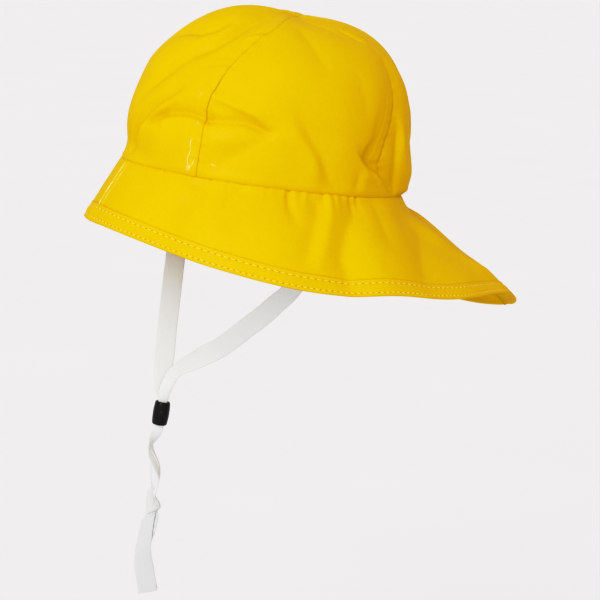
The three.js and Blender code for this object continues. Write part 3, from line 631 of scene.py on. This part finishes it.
# Folds: places (angle, climb or reach), depth, width on the left of the line and on its right,
# all seen from outside along the line. Depth is negative where the cloth goes in.
CROWN_FOLDS = [
    ([(14, 0.2), (18.5, 0.216), (23, 0.234), (29.8, 0.248), (36.8, 0.25), (46, 0.233)], -3.6, 4.2, 1.8),
    ([(20, 0.285), (26.5, 0.305), (33, 0.31), (42, 0.3)], 1.8, 5, 5),
    ([(45.5, 0.232), (52.8, 0.238), (59.3, 0.241), (66, 0.23), (71, 0.215)], -3.2, 4.5, 3),
    ([(42, 0.322), (44, 0.312), (51, 0.297), (57.7, 0.282), (64.8, 0.264), (69, 0.235)], 2.2, 5, 2.2),
    ([(26, 0.17), (46, 0.165), (58, 0.17), (66, 0.18)], 2.4, 12, 14),
    ([(70, 0.225), (66.5, 0.175), (60.4, 0.134), (54.9, 0.092)], -2, 9, 9),
    ([(1, 0.085), (3, 0.118), (6, 0.178), (12, 0.238), (19, 0.278), (27, 0.318)], -3.4, 5, 2),
    ([(0, 0.06), (1.5, 0.1), (4, 0.15)], -1.8, 4, 2),
    ([(7, 0.11), (9, 0.14), (12, 0.187), (16.5, 0.23), (23, 0.262), (29, 0.285)], 2, 2.2, 2.5),
    ([(24.4, 0.287), (22.6, 0.246), (21.3, 0.198)], -1.4, 3, 3),
    ([(-40, 0.1), (-12, 0.1), (12, 0.08)], -3.2, 12, 12),
    ([(8.5, 0.34), (19.5, 0.413), (28.1, 0.473), (34.8, 0.535), (36.5, 0.63)], -2.6, 5, 7),
    ([(23.8, 0.447), (32.9, 0.488), (37.2, 0.578), (39.7, 0.722)], -1.7, 4, 5),
    ([(1.8, 0.282), (10.9, 0.358), (17.1, 0.4)], -2, 5, 5),
    ([(-6, 0.5), (-0.7, 0.518), (16.4, 0.532), (22.6, 0.562), (24.4, 0.606)], -3.6, 8, 4),
    ([(36, 0.396), (40, 0.404), (45, 0.41)], 1.1, 1.7, 1.7),
    ([(36.5, 0.428), (41, 0.434), (45, 0.438)], 0.9, 1.6, 1.6),
    ([(46, 0.545), (51, 0.557), (54, 0.566)], 1.3, 1.8, 2.2),
    ([(83, 0.262), (88.2, 0.212), (92.8, 0.165), (95.8, 0.123), (100, 0.052)], -2.1, 10, 5),
    ([(80, 0.24), (86.1, 0.19), (91, 0.142), (93, 0.08)], 1.8, 5, 6),
    ([(75.7, 0.646), (84.3, 0.547), (90.4, 0.465)], -1.5, 8, 8),
    ([(127.1, 0.7), (133.2, 0.632)], -1.8, 4, 4),
    ([(117.5, 0.158), (115.8, 0.18), (116.2, 0.2), (117.5, 0.22)], -2.2, 2.2, 13),
    ([(118, 0.2), (119.5, 0.25), (121.5, 0.33)], -1.4, 5, 13),
    ([(114, 0.172), (117.5, 0.158), (123, 0.139), (128.7, 0.117), (134, 0.055)], -3.6, 7, 1.8),
    (
        [(142, 0.56), (139.5, 0.469), (135, 0.39), (131.5, 0.31), (128.2, 0.235), (126, 0.168), (128, 0.13)],
        -4, 10, 14,
    ),
    ([(110, 0.44), (112, 0.36), (114, 0.29)], -1.4, 9, 12),
    ([(113, 0.085), (118, 0.105), (124, 0.1), (129, 0.07)], 1.7, 6, 12),
    ([(113, 0.1), (112, 0.043)], -1.6, 4, 4),
    ([(137.2, 0.29), (137.5, 0.23), (138, 0.172), (140.5, 0.05)], -3.4, 3, 9),
    ([(140, 0.3), (141.5, 0.25), (145, 0.177), (150, 0.08)], 1.3, 4, 4),
    ([(150, 0.14), (168, 0.13), (186, 0.13)], 3.6, 14, 13),
    ([(152, 0.32), (160, 0.25), (172, 0.22)], -1.8, 8, 8),
    ([(-120, 0.84), (-92, 0.78), (-62, 0.84)], 5.5, 29, 29),
    ([(-30, 0.26), (-50, 0.22), (-70, 0.2)], -3.8, 7, 5),
    ([(-48, 0.3), (-60, 0.27), (-72, 0.24)], 2, 5, 4),
    ([(-95, 0.3), (-104, 0.2), (-112, 0.07)], -3.8, 8, 6),
    ([(-84, 0.24), (-92, 0.16), (-98, 0.07)], 2.2, 7, 6),
    ([(-140, 0.33), (-150, 0.22), (-152, 0.08)], -3.6, 8, 6),
    ([(-165, 0.42), (-170, 0.3), (-172, 0.2)], -2, 9, 7),
    ([(-60, 0.6), (-70, 0.5), (-74, 0.4)], -1.6, 8, 7),
    ([(100, 0.75), (112, 0.7), (120, 0.62)], -1.2, 8, 8),
    ([(150, 0.66), (160, 0.55), (164, 0.45)], -1.6, 8, 8),
    ([(-45, 0.4), (-20, 0.39), (10, 0.42)], 2.4, 15, 16),
    ([(148, 0.02), (168, 0.025), (190, 0.02)], 3, 7, 7),
]
BRIM_FOLDS = [
    ([(51, -0.02), (47.1, 0.21), (44.1, 0.415), (43.5, 0.6)], -2.4, 7, 9),
    ([(66, -0.02), (61.4, 0.145), (59.1, 0.32)], -2, 6, 7),
    ([(82.3, -0.02), (82.9, 0.16), (84.7, 0.3)], -2, 4.5, 5),
    ([(95.4, -0.02), (93.5, 0.23), (90.5, 0.48), (88.7, 0.65)], -2.6, 6, 9),
    ([(100.5, -0.02), (98.5, 0.2), (95.5, 0.45), (92.5, 0.7)], 1.6, 6, 6),
    ([(112.5, -0.02), (109, 0.165), (103.5, 0.41), (100.5, 0.61), (101, 0.92)], -3.5, 12, 9),
    ([(107, 0.3), (111, 0.6), (113, 0.95)], 1.4, 16, 14),
    ([(122.6, -0.02), (121.8, 0.23), (120.6, 0.42)], -1.6, 9, 8),
    ([(147.4, 0.3), (136.1, 0.525), (128.3, 0.8)], -2.4, 14, 11),
    ([(143.3, 0.28), (148, 0.445), (155.8, 0.595), (158.2, 0.82)], -1.6, 11, 15),
    ([(153, 0.3), (159, 0.55), (163, 0.9)], 3.2, 10, 18),
    ([(168, -0.02), (167, 0.2), (166, 0.5)], -2, 9, 9),
    ([(-168, -0.02), (-170, 0.25), (-172, 0.6)], -2.5, 10, 10),
    ([(-148, -0.02), (-150, 0.3), (-150, 0.8)], -3, 10, 10),
    ([(-128, -0.02), (-126, 0.3), (-122, 0.9)], -4, 9, 9),
    ([(-111, -0.02), (-108, 0.3), (-104, 0.7)], -3.6, 8, 8),
    ([(-95, -0.02), (-91, 0.25), (-88, 0.6)], -3.5, 7, 7),
    ([(-80, -0.02), (-80, 0.15), (-79, 0.35)], -2.1, 6, 6),
    ([(-55, -0.02), (-51, 0.2), (-47, 0.5)], -2, 8, 8),
    ([(138, 0.2), (160, 0.15), (186, 0.15)], -3.2, 10, 10),
    ([(148, 0.8), (164, 0.75), (186, 0.76)], 2.6, 13, 13),
]
# Tucks where the gathered brim is sewn on: angle, reach they run to in millimetres, depth
TUCKS = [
    (51.5, 5, 0.6), (58.5, 6, 0.6), (74, 6, 0.6), (82.3, 12, 1.2), (87.1, 9, 0.9), (91.5, 6, 0.4),
    (96.7, 12, 1), (100.9, 9, 0.9), (105, 6, 0.4), (109.2, 10, 0.9), (112.8, 8, 0.8), (121, 5, 0.3),
    (131, 5, 0.35), (142, 5, 0.3), (157, 6, 0.4), (170, 7, 0.5), (-172, 8, 0.8), (-160, 9, 1),
    (-146, 9, 1), (-133, 10, 1.1), (-121, 8, 0.8), (-113, 9, 1), (-104, 10, 1.2), (-96, 8, 0.8),
    (-88, 9, 1), (-79, 9, 0.9), (-66, 7, 0.6), (-52, 8, 0.8), (-34, 6, 0.4), (30, 6, 0.4),
]
SEAM_ALLOWANCE = 9
# How far two of the crown seams stray from their compass angle: angle, then climb and turn
SEAM_STRAY = {
    45: (
        (0.16, 0.22, 0.27, 0.32, 0.377, 0.42, 0.49, 0.564, 0.625, 0.75, 1),
        (0, -0.8, -1.6, -1, 0.2, 1.6, 5, 8.6, 12.5, 12.5, 0),
    ),
    135: (
        (0.02, 0.108, 0.168, 0.235, 0.299, 0.382, 0.469, 0.62, 0.8),
        (0, -5.8, -9, -7, -3.8, 0, 4.5, 6, 0),
    ),
}


STITCH_ROWS, STITCH_PITCHES, STITCH_GAP = (2.6, 9.6), (4.2, 4.9), 1.3
# Forms along the stitch rows: half width, height, how deep they sit, slant and rings
THREAD_FORM, HOLE_FORM = (0.3, 0.34, 0.3, 0.16, 7), (0.46, 0.16, 0.33, 0, 5)
HOLE_LENGTH, BEAD_SIDES = 1.4, 8
# How a fold falls off, how softly its two widths meet, and where it fades, as shares of its length
FOLD_POWER, FOLD_BLEND, FOLD_FADE = 1.5, 0.6, (-0.35, 0.22)
# Ripples: wave length, height and seed
CROWN_RIPPLE, BRIM_RIPPLE = (46, 0.55, 0.7), (52, 0.6, 2.4)
# Where crown and brim meet: depth and width of the crease, and how far and how near it they are
# drawn together
CREASE_DEPTH, CREASE_WIDTH, DRAWN, DRAWN_WIDTH = 0.85, 0.75, 0.9, 1.2
# Crown seams: how proud the seam allowance, the roll beside the seam and the puckers are
CROWN_BAND, CROWN_ROLL, PUCKER, GROOVE_WIDTH, GROOVE_POWER = 0.38, 0.22, 0.32, 0.55, 1.6
# Brim seams: the same, with the groove's depth and two pressed ridges, by place and width
BRIM_BAND, BRIM_ROLL, BRIM_GROOVE, RIDGE = 0.45, 0.35, 0.95, 0.35
RIDGES = [(3.1, 0.7), (7.6, 0.8)]
# Hem: softness of its step, the groove above it, the dents of the stitch rows and the swell between
HEM_SOFTNESS, HEM_GROOVE, STITCH_DENT, HEM_SWELL = 0.35, 0.3, 0.3, 0.22
# Millimetres to a degree of turn, on the lower crown and at the top of the brim
CROWN_DEGREE, BRIM_DEGREE = 1.5, 1.62
# Spots of gloss and painted highlight on the crown: turn, height, half width and height, and slant
PAINTED_HIGHLIGHT_SPOTS = [(51.2, 9.7, 2.6, 0.8, 0.2), (39, 54.8, 0.7, 1.3, 0)]
# How strongly the painted highlight shows on the streak and on the spots, and where a spot ends
STREAK_SHOWN, SPOT_SHOWN, SPOT_EDGE = 0.55, 0.35, 2


def fold_offset(places, normals, table, surface):
    """How far the folds of a table lift each place along its normal."""
    offset = np.zeros(places.shape[:-1])
    for line, depth, left_width, right_width in table:
        points = np.array([surface(math.radians(angle), along) for angle, along in line])
        spans = np.diff(points, axis=0)
        lengths = np.linalg.norm(spans, axis=1)
        starts = run_along(points)
        total = starts[-1]
        best = np.full(offset.shape, 1e9)
        side, run = np.zeros_like(best), np.zeros_like(best)
        for start, span, length, begin in zip(points, spans, lengths, starts):
            from_start = places - start
            share = np.clip(from_start @ span / length**2, 0, 1)
            gap = from_start - share[..., None] * span
            away = np.linalg.norm(gap, axis=-1)
            nearer = away < best
            best = np.where(nearer, away, best)
            lean = np.einsum("...k,...k->...", np.cross(normals, span / length), gap)
            side = np.where(nearer, lean, side)
            run = np.where(nearer, begin + share * length, run)
        blend = smoothstep(side / np.maximum(best, 1e-6), -FOLD_BLEND, FOLD_BLEND)
        width = right_width + (left_width - right_width) * blend
        fade = smoothstep(np.minimum(run, total - run), *(total * share for share in FOLD_FADE))
        offset += depth * fade * bell(best, 0, width, FOLD_POWER)
    return offset


def ripple(places, wave, height, seed):
    """Gentle unevenness of the cloth: three crossing waves of this length and height."""
    total = 0
    for k in range(3):
        turn = seed + 2.1 * k
        way = np.array([math.sin(turn), math.cos(1.7 * turn), math.sin(2.3 * turn + 1)])
        total = total + np.sin(places @ way * (2 * math.pi / wave) / (1 + 0.23 * k) + 1.9 * turn)
    return height / 3 * total


def seam_distance(angle, places):
    """Signed distance to the nearest crown seam, positive on its far side going round."""
    radius = np.linalg.norm(places[..., :2] - (0, APEX_SETBACK), axis=-1)
    return np.radians(np.degrees(angle) % 90 - 45) * radius


def stray(angle, climb):
    """The angle where the cloth of a panel really lies, as its seams wander."""
    turn = np.degrees(angle)
    for middle, (climbs, turns) in SEAM_STRAY.items():
        near = np.cos(np.radians(np.clip(turn - middle, -45, 45) * 4)) / 2 + 0.5
        angle = angle + np.radians(np.interp(climb, climbs, turns)) * near
    return angle


def seam_puckers(places, gap, low):
    """Small crumples beside a crown seam, in waves that run up it."""
    run = places[..., 2] * 0.9 + places[..., 0] * 0.3
    waves = np.sin(run * 0.62 + 1.3) * np.sin(run * 0.23 + 0.4) + 0.5 * np.sin(run * 1.31)
    return PUCKER * waves * bell(gap, 0, 5.5) * smoothstep(low, 2, 12)


def seam_depth(turn, above):
    """Depth of the groove at a crown seam, deepest half way up the one at the back left."""
    front = 0.3 * smoothstep(above, 34, 42) * smoothstep(above, 72, 62) * (turn < 90)
    top = 0.03 * smoothstep(above, 66, 78)
    back = smoothstep(above, 16, 30) * smoothstep(above, 92, 70) * smoothstep(np.abs(turn - 135), 22, 14)
    return 0.1 + front - top + 0.8 * back


def crown_painted_highlight(turn, above):
    """Gloss and painted highlight at the front left seam, and distance to the line that it follows."""
    low = np.clip(above, 0, None)
    streak = (turn - 40.9 - 0.025 * (low - 18)) * CROWN_DEGREE
    streak = streak + 0.45 * np.sin(low * 0.6 + 1) + 0.2 * np.sin(low * 1.7)
    second = (turn - 43 + 0.3 * (9 - low)) * CROWN_DEGREE + 0.3 * np.sin(low * 1.3)
    patches = smoothstep(low, 26, 22) + 0.6 * smoothstep(np.abs(low - 35), 1.6, 0.5)
    fork = np.abs(second) < np.abs(streak)
    shown = smoothstep(low, 3.2, 4.6) * np.where(fork, smoothstep(low, 12, 9), patches)
    shown = STREAK_SHOWN * shown * smoothstep(np.abs(turn - 41), 6, 4)
    spot = np.full(turn.shape, np.inf)
    for at, height, wide, tall, slant in PAINTED_HIGHLIGHT_SPOTS:
        across, up = (turn - at) * CROWN_DEGREE, above - height + slant * (turn - at)
        spot = np.minimum(spot, np.hypot(across / wide, up / tall))
    line = np.where(spot < SPOT_EDGE, spot * 0.4, np.where(fork, second, streak))
    return np.clip(np.where(spot < SPOT_EDGE, SPOT_SHOWN, shown), 0, 1), line


def crown_surface(panel_angle, climb):
    """Outer places of the crown, normals, thickness, gloss and painted highlight, and distance to the glossy
    line.
    """
    angle = stray(panel_angle, climb)
    places = smooth_crown(angle, climb)
    normals = outward_normal(smooth_crown, angle, climb)
    beside = seam_distance(panel_angle, places)
    gap, turn, above = np.abs(beside), np.degrees(angle), places[..., 2].copy()
    low = np.clip(above, 0, None)
    offset = fold_offset(places, normals, CROWN_FOLDS, smooth_crown) * smoothstep(low, -1, 5.5)
    offset += ripple(places, *CROWN_RIPPLE) * smoothstep(low, 0, 10)
    offset += seam_puckers(places, gap, low)
    band = smoothstep(-beside, SEAM_ALLOWANCE + 1.2, SEAM_ALLOWANCE - 0.6) * (beside < 0)
    band = band * (1 - 0.5 * smoothstep(above, 66, 78))
    offset += CROWN_BAND * band + CROWN_ROLL * bell(gap, 2.6, 2.2)
    offset -= seam_depth(turn, above) * bell(gap, 0, GROOVE_WIDTH, GROOVE_POWER)
    offset += 0.3 * bell(low, 3.4, 2.6) - CREASE_DEPTH * bell(low, 0, CREASE_WIDTH, 1.5)
    places[..., 2] -= DRAWN * bell(low, 0, DRAWN_WIDTH)
    gloss_and_painted_highlight, line = crown_painted_highlight(turn, above)
    return places + normals * offset[..., None], normals, CLOTH + 0.8 * band, gloss_and_painted_highlight, line


def tucked(turn, down):
    """How far the tucks below the crown draw the brim in."""
    inward = 0
    for middle, run, depth in TUCKS:
        beside = np.abs(wrapped(turn - middle)) * BRIM_DEGREE
        tuck = bell(beside, 0, 1.25, 1.5) - 0.45 * bell(beside, 2.6, 1.5)
        inward = inward + depth * tuck * bell(np.clip(down, 0, None), 0, run, 1.8)
    return inward


def brim_seam(flat, hem):
    """Lift and groove at a brim seam, from the signed distance to it."""
    gap = np.abs(flat)
    near = gap < 60
    band = smoothstep(flat, SEAM_ALLOWANCE + 0.8, SEAM_ALLOWANCE - 0.4) * (flat > 0) * near
    ridges = sum(bell(flat, *ridge) for ridge in RIDGES) * near * (1 - hem)
    lift = BRIM_BAND * band + RIDGE * ridges + BRIM_ROLL * bell(gap, 2.6, 1.8)
    return lift, BRIM_GROOVE * bell(gap, 0, 1, GROOVE_POWER)


def brim_painted_highlight(flat, down, hem):
    """Gloss and painted highlight at the front seam, and distance to the nearer of its two lines."""
    wander = 0.25 * np.sin(down * 0.35 + 1)
    line = 0.5 * np.minimum(np.abs(flat - 3.1 - wander), np.abs(flat - 7.4 + wander))
    gloss_and_painted_highlight = np.where(flat < 5.2, 1, 0.5) * (np.abs(flat) < 12) * smoothstep(down, 1, 4) * (1 - hem)
    return gloss_and_painted_highlight * (0.6 + 0.4 * np.sin(down * 0.5 + flat)), line


def brim_surface(angle, reach):
    """Outer places of the brim, normals, thickness, gloss and painted highlight, and distance to the glossy
    lines.
    """
    length = brim_section(angle)[0]
    places = smooth_brim(angle, reach)
    normals = outward_normal(smooth_brim, angle, reach)
    down, rise = reach * length, (1 - reach) * length
    turn, radius = wrapped(np.degrees(angle)), np.linalg.norm(places[..., :2], axis=-1)
    offset = fold_offset(places, normals, BRIM_FOLDS, smooth_brim) * smoothstep(down, -3, 6)
    offset += ripple(places, *BRIM_RIPPLE) * smoothstep(down, 0, 14) - tucked(turn, down)
    hem = smoothstep(rise, HEM_WIDTH + HEM_SOFTNESS, HEM_WIDTH - HEM_SOFTNESS)
    proud = HEM_PROUD * (1 + 1.5 * bell(turn, 0, 10))
    sunk = 0
    for middle, side in ((0, 1), (180, -1)):
        lift, groove = brim_seam(side * np.radians(wrapped(turn - middle)) * radius, hem)
        offset, sunk = offset + lift - groove, sunk + groove
    gloss_and_painted_highlight, line = brim_painted_highlight(np.radians(turn) * radius, down, hem)
    offset += 0.2 * bell(down, 2.8, 2.2) - CREASE_DEPTH * bell(down, 0, CREASE_WIDTH, 1.5)
    places[..., 2] += DRAWN * bell(down, 0, DRAWN_WIDTH)
    offset += proud * hem - HEM_GROOVE * bell(rise, HEM_WIDTH + 0.3, 0.28)
    for row in STITCH_ROWS:
        offset -= STITCH_DENT * bell(rise, row, 0.7)
    offset += HEM_SWELL * bell(rise, 6.2, 2.4)
    thick = CLOTH + 2 * proud * hem - 0.45 * sunk
    return places + normals * offset[..., None], normals, thick, gloss_and_painted_highlight, line


def eased(count, ease):
    """Shares from 0 to 1 that crowd towards both ends."""
    share = np.linspace(0, 1, count)
    return share - ease * np.sin(2 * math.pi * share) / (2 * math.pi)


def to_part_frame(places):
    tilt = math.radians(HAT_TILT)
    x, y, z = np.moveaxis(places, -1, 0)
    back, up = y * math.cos(tilt) + z * math.sin(tilt), z * math.cos(tilt) - y * math.sin(tilt)
    return np.stack([x, back, up], -1)


def rounded_sheet(outer, inner):
    """Rows of a sheet that run down its outside, round its edge and up its inside."""
    middle, half = (outer[-1] + inner[-1]) / 2, (outer[-1] - inner[-1]) / 2
    along = unit(outer[-1] - outer[-2]) * np.linalg.norm(half, axis=-1, keepdims=True)
    turns = np.radians(np.linspace(0, 180, RIM_ROWS + 2)[1:-1])
    rim = [middle + half * math.cos(turn) + along * math.sin(turn) for turn in turns]
    return np.concatenate([outer, np.array(rim), inner[::-1]])


def sheet_mesh(name, rows, uv, gloss_and_painted_highlight, line):
    """Closed mesh of a folded sheet; its first and last row and its two sides are joined."""
    count, columns = rows.shape[:2]
    faces = grid_faces(count, columns)
    back, last = (count - 1) * columns, columns - 1
    faces += [(k + 1, k, back + k, back + k + 1) for k in range(last)]
    for k in range((count - 1) // 2):
        low, high = k * columns, (k + 1) * columns
        far_low, far_high = (count - 1 - k) * columns, (count - 2 - k) * columns
        sides = (low, high, far_high, far_low), (high + last, low + last, far_low + last, far_high + last)
        faces += [tuple(dict.fromkeys(side)) for side in sides]
    # One attribute marks where the painted highlight and gloss lie, the other the distance to their line.
    attributes = {"glossy_painted_highlight": gloss_and_painted_highlight.reshape(-1), "line": line.reshape(-1)}
    places = to_part_frame(rows).reshape(-1, 3)
    thing = make_mesh(name, places, faces, cloth, uv.reshape(-1, 2), attributes)
    return thing


# Rows and columns of the cloth, and how much the columns crowd towards the seams
PANEL_COLUMNS, PANEL_ROWS, PANEL_CROWDING, FINE_ROWS = 132, 160, 0.75, 500
BRIM_COLUMNS, BRIM_ROWS, BRIM_CROWDING, HEM_ROWS, RIM_ROWS = 300, 60, 0.6, 28, 5
# The rows close to the seam between crown and brim, and the share of the cloth that they cover
PANEL_BASE_ROWS, PANEL_BASE, BRIM_BASE_ROWS, BRIM_BASE = 7, 0.03, 8, 0.06
# Rows over the step at the top of the hem, as distances from it
HEM_STEP = np.array([0.85, 0.6, 0.45, 0.3, 0.15, 0, -0.15, -0.3])
# Half gaps between panels and between brim halves, and the open spot at the apex
PANEL_GAP, BRIM_GAP, APEX_GAP = 0.015, 0.01, 0.2
LOWEST_CLIMB, LEAST_REACH = 0.0008, 0.002
# Mean radius and length up the crown, for its texture coordinates
CROWN_RADIUS, CROWN_RUN = 92, 170


def crowded(base, base_rows, rows):
    """Shares from 0 to 1, with more rows in the first stretch."""
    return np.concatenate([np.linspace(0, base, base_rows)[:-1], np.linspace(base, 1, rows)])


def top_climb(angle):
    radius = np.hypot(HEAD_WIDTH / 2 * np.sin(angle), HEAD_LENGTH / 2 * np.cos(angle))
    turn = np.arccos((APEX_GAP / radius) ** (around(angle, "roundness") / 2)) / (math.pi / 2)
    return 1 / (1 + ((1 - turn) / turn) ** (1 / ROW_CROWDING))


def even_climbs(angles, spots):
    """Climbs, one row to a spot, that lie evenly up the crown at each angle."""
    climb = LOWEST_CLIMB + (top_climb(angles) - LOWEST_CLIMB) * np.linspace(0, 1, FINE_ROWS)[:, None]
    run = run_along(smooth_crown(np.broadcast_to(angles, climb.shape), climb))
    rows = [np.interp(spots * run[-1, k], run[:, k], climb[:, k]) for k in range(len(angles))]
    return np.stack(rows, -1)


def crown_panel(name, node, seam_angle):
    """One panel of the crown, from the seam at this angle to the next."""
    share = eased(PANEL_COLUMNS, PANEL_CROWDING)
    angles = np.radians(seam_angle + 90 * share)
    spots = crowded(PANEL_BASE, PANEL_BASE_ROWS, PANEL_ROWS)
    climb = even_climbs(angles, spots)
    radius = np.linalg.norm(smooth_crown(angles, climb)[..., :2] - (0, APEX_SETBACK), axis=-1)
    gap = np.arcsin(np.minimum(PANEL_GAP / np.maximum(radius, 0.1), 0.3))
    outer, normals, thick, gloss_and_painted_highlight, line = crown_surface(angles - (2 * share - 1) * gap, climb)
    rows = np.concatenate([outer[::-1], outer - normals * thick[..., None]])
    across, up = np.radians(90) * share * CROWN_RADIUS, spots[:, None] * CROWN_RUN
    uv = np.stack(np.broadcast_arrays(across, up), -1) * MM
    uv, line = np.concatenate([uv[::-1], uv]), np.concatenate([line[::-1], line])
    thing = sheet_mesh(name, rows, uv, np.concatenate([gloss_and_painted_highlight[::-1], 0 * gloss_and_painted_highlight]), line)
    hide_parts(node)


def brim_half(name, node, start_angle):
    """One half of the brim, with its turned hem."""
    share = eased(BRIM_COLUMNS, BRIM_CROWDING)
    side = 2 * share - 1
    angles = np.radians(start_angle + 180 * share)
    length = brim_section(angles)[0]
    body = crowded(BRIM_BASE, BRIM_BASE_ROWS, BRIM_ROWS)[:, None]
    hem = np.concatenate([HEM_WIDTH + HEM_STEP, np.linspace(HEM_WIDTH - 0.6, 1.1, HEM_ROWS)])
    body_end = 1 - (HEM_WIDTH + 1.3) / length
    body = LEAST_REACH + body * (body_end - LEAST_REACH)
    reach = np.concatenate([body, 1 - hem[:, None] / length])
    angle = angles - side * BRIM_GAP / (HEAD_LENGTH / 2) * (np.abs(side) > 0.98)
    outer, normals, thick, gloss_and_painted_highlight, line = brim_surface(np.broadcast_to(angle, reach.shape), reach)
    rows = rounded_sheet(outer, outer - normals * thick[..., None])
    uv = np.stack(np.broadcast_arrays(run_along(outer[-1]), (1 - reach) * length), -1) * MM
    uv = np.concatenate([uv, np.repeat(uv[-1:], RIM_ROWS, 0), uv[::-1]])
    rim = np.zeros((RIM_ROWS, len(angles)))
    gloss_and_painted_highlight = np.concatenate([gloss_and_painted_highlight, rim, 0 * gloss_and_painted_highlight])
    line = np.concatenate([line, rim, line[::-1]])
    thing = sheet_mesh(name, rows, uv, gloss_and_painted_highlight, line)
    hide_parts(node)


def beads(line, normals, spots, length, form):
    """Closed thread-like forms along a line of the hem, one at each spot."""
    width, height, sink, slant, rings = form
    run = run_along(line)
    share = np.linspace(0, 1, rings)
    bulge = np.sin(math.pi * (0.04 + 0.92 * share))
    turns = np.arange(BEAD_SIDES) * 2 * math.pi / BEAD_SIDES
    wide = (width * np.sqrt(bulge))[:, None]
    places, faces = [], []
    for spot in spots:
        at = spot * run[-1] + length * (share - 0.5)
        middle = np.stack([np.interp(at, run, line[:, axis]) for axis in range(3)], -1)
        normal = unit(np.stack([np.interp(at, run, normals[:, axis]) for axis in range(3)], -1))
        across = unit(np.cross(unit(np.gradient(middle, axis=0)), normal))
        middle = middle + normal * (height * bulge - sink)[:, None]
        middle = middle + across * (slant * (2 * share - 1))[:, None]
        ring = middle[:, None] + across[:, None] * (wide * np.cos(turns))[..., None]
        ring = ring + normal[:, None] * (0.8 * wide * np.sin(turns))[..., None]
        base = len(places) * rings * BEAD_SIDES
        places.append(ring.reshape(-1, 3))
        body = grid_faces(rings, BEAD_SIDES, closed=True)
        body += [tuple(range(BEAD_SIDES))[::-1], tuple(range((rings - 1) * BEAD_SIDES, rings * BEAD_SIDES))]
        faces += [tuple(base + corner for corner in face) for face in body]
    return to_part_frame(np.concatenate(places)), faces


def stitches(place, row, pitch):
    """One row of lock stitches round the whole hem, with a needle hole between each two; each hole is a dark
    sunk bead that paints the shade in it.
    """
    fine = np.radians(np.linspace(1.2, 358.8, 2400))
    line, normals, *_ = brim_surface(fine, 1 - row / brim_section(fine)[0])
    count = int(run_along(line)[-1] / pitch)
    spots = np.arange(count) / count
    threads = beads(line, normals, spots + 0.5 / count, pitch - STITCH_GAP, THREAD_FORM)
    holes = beads(line, normals, spots[1:], HOLE_LENGTH, HOLE_FORM)
    # The needle holes are dark orange beads: painted shade.
    for name, made, material in (("stitches", threads, thread), ("needle_hole_shade", holes, painted_hole_shade)):
        thing = make_mesh(f"hem_{name}_{place}", *made, material)


for panel, seam in (("front", -45), ("left", 45), ("back", 135), ("right", 225)):
    crown_panel(f"crown_{panel}_cloth", f"crown_{panel}_panel", seam)
brim_half("brim_left_cloth", "brim_left", 0)
brim_half("brim_right_cloth", "brim_right", 180)
for place, row, pitch in zip(("lower", "upper"), STITCH_ROWS, STITCH_PITCHES):
    stitches(place, row, pitch)


# Floor, lights and the picture's tone curve, from a shade to the shade shown; lengths in metres
FLOOR_REACH, FLOOR_LEVEL = 27, -0.62
FLOOR_COLOURS = (0.801, 0.787, 0.793, 1), (0.811, 0.797, 0.803, 1)
SUN_AZIMUTH, SUN_ELEVATION, SUN_DISTANCE, SUN_POWER, SUN_SPREAD = 45, 24, 3, 1.66, 30
STUDIO_COLOUR, STUDIO_STRENGTH = (0.888, 0.872, 0.88, 1), 0.99
TONE_CURVE = [(0.2, 0.125), (0.41, 0.335), (0.59, 0.612), (0.75, 0.765), (0.88, 0.87)]
WHITE_SHOWN = 0.96


def floor():
    mesh = bpy.data.meshes.new("floor")
    corners = [(-1, -1), (1, -1), (1, 1), (-1, 1)]
    places = [(x * FLOOR_REACH, y * FLOOR_REACH, FLOOR_LEVEL) for x, y in corners]
    mesh.from_pydata(places, [], [(0, 1, 2, 3)])
    material, tree, shader = node_material("floor_pale", Roughness=0.9)
    cloudy = ramp(tree, noise(tree, object_place(tree), 3, 2), 0.3, 0.7, 0, 1)
    tree.links.new(mix_colour(tree, cloudy, *FLOOR_COLOURS), shader.inputs["Base Color"])
    mesh.materials.append(material)
    thing = bpy.data.objects.new("floor", mesh)
    scene.collection.objects.link(thing)


def soft_sun():
    place = direction(SUN_AZIMUTH, SUN_ELEVATION) * SUN_DISTANCE
    data = bpy.data.lights.new("key", "SUN")
    data.energy, data.angle = SUN_POWER, math.radians(SUN_SPREAD)
    thing = bpy.data.objects.new("key", data)
    thing.location = place
    thing.rotation_euler = (-place).to_track_quat("-Z", "Y").to_euler()
    scene.collection.objects.link(thing)


def studio():
    world = bpy.data.worlds.new("studio")
    world.use_nodes = True
    background = world.node_tree.nodes["Background"]
    background.inputs["Color"].default_value = STUDIO_COLOUR
    background.inputs["Strength"].default_value = STUDIO_STRENGTH
    scene.world = world
    view = scene.view_settings
    view.view_transform = "Standard"
    view.use_curve_mapping = True
    tone = view.curve_mapping.curves[3]
    for shade, shown in TONE_CURVE:
        tone.points.new(shade, shown)
    tone.points[-1].location = (1, WHITE_SHOWN)
    view.curve_mapping.update()


floor()
soft_sun()
studio()
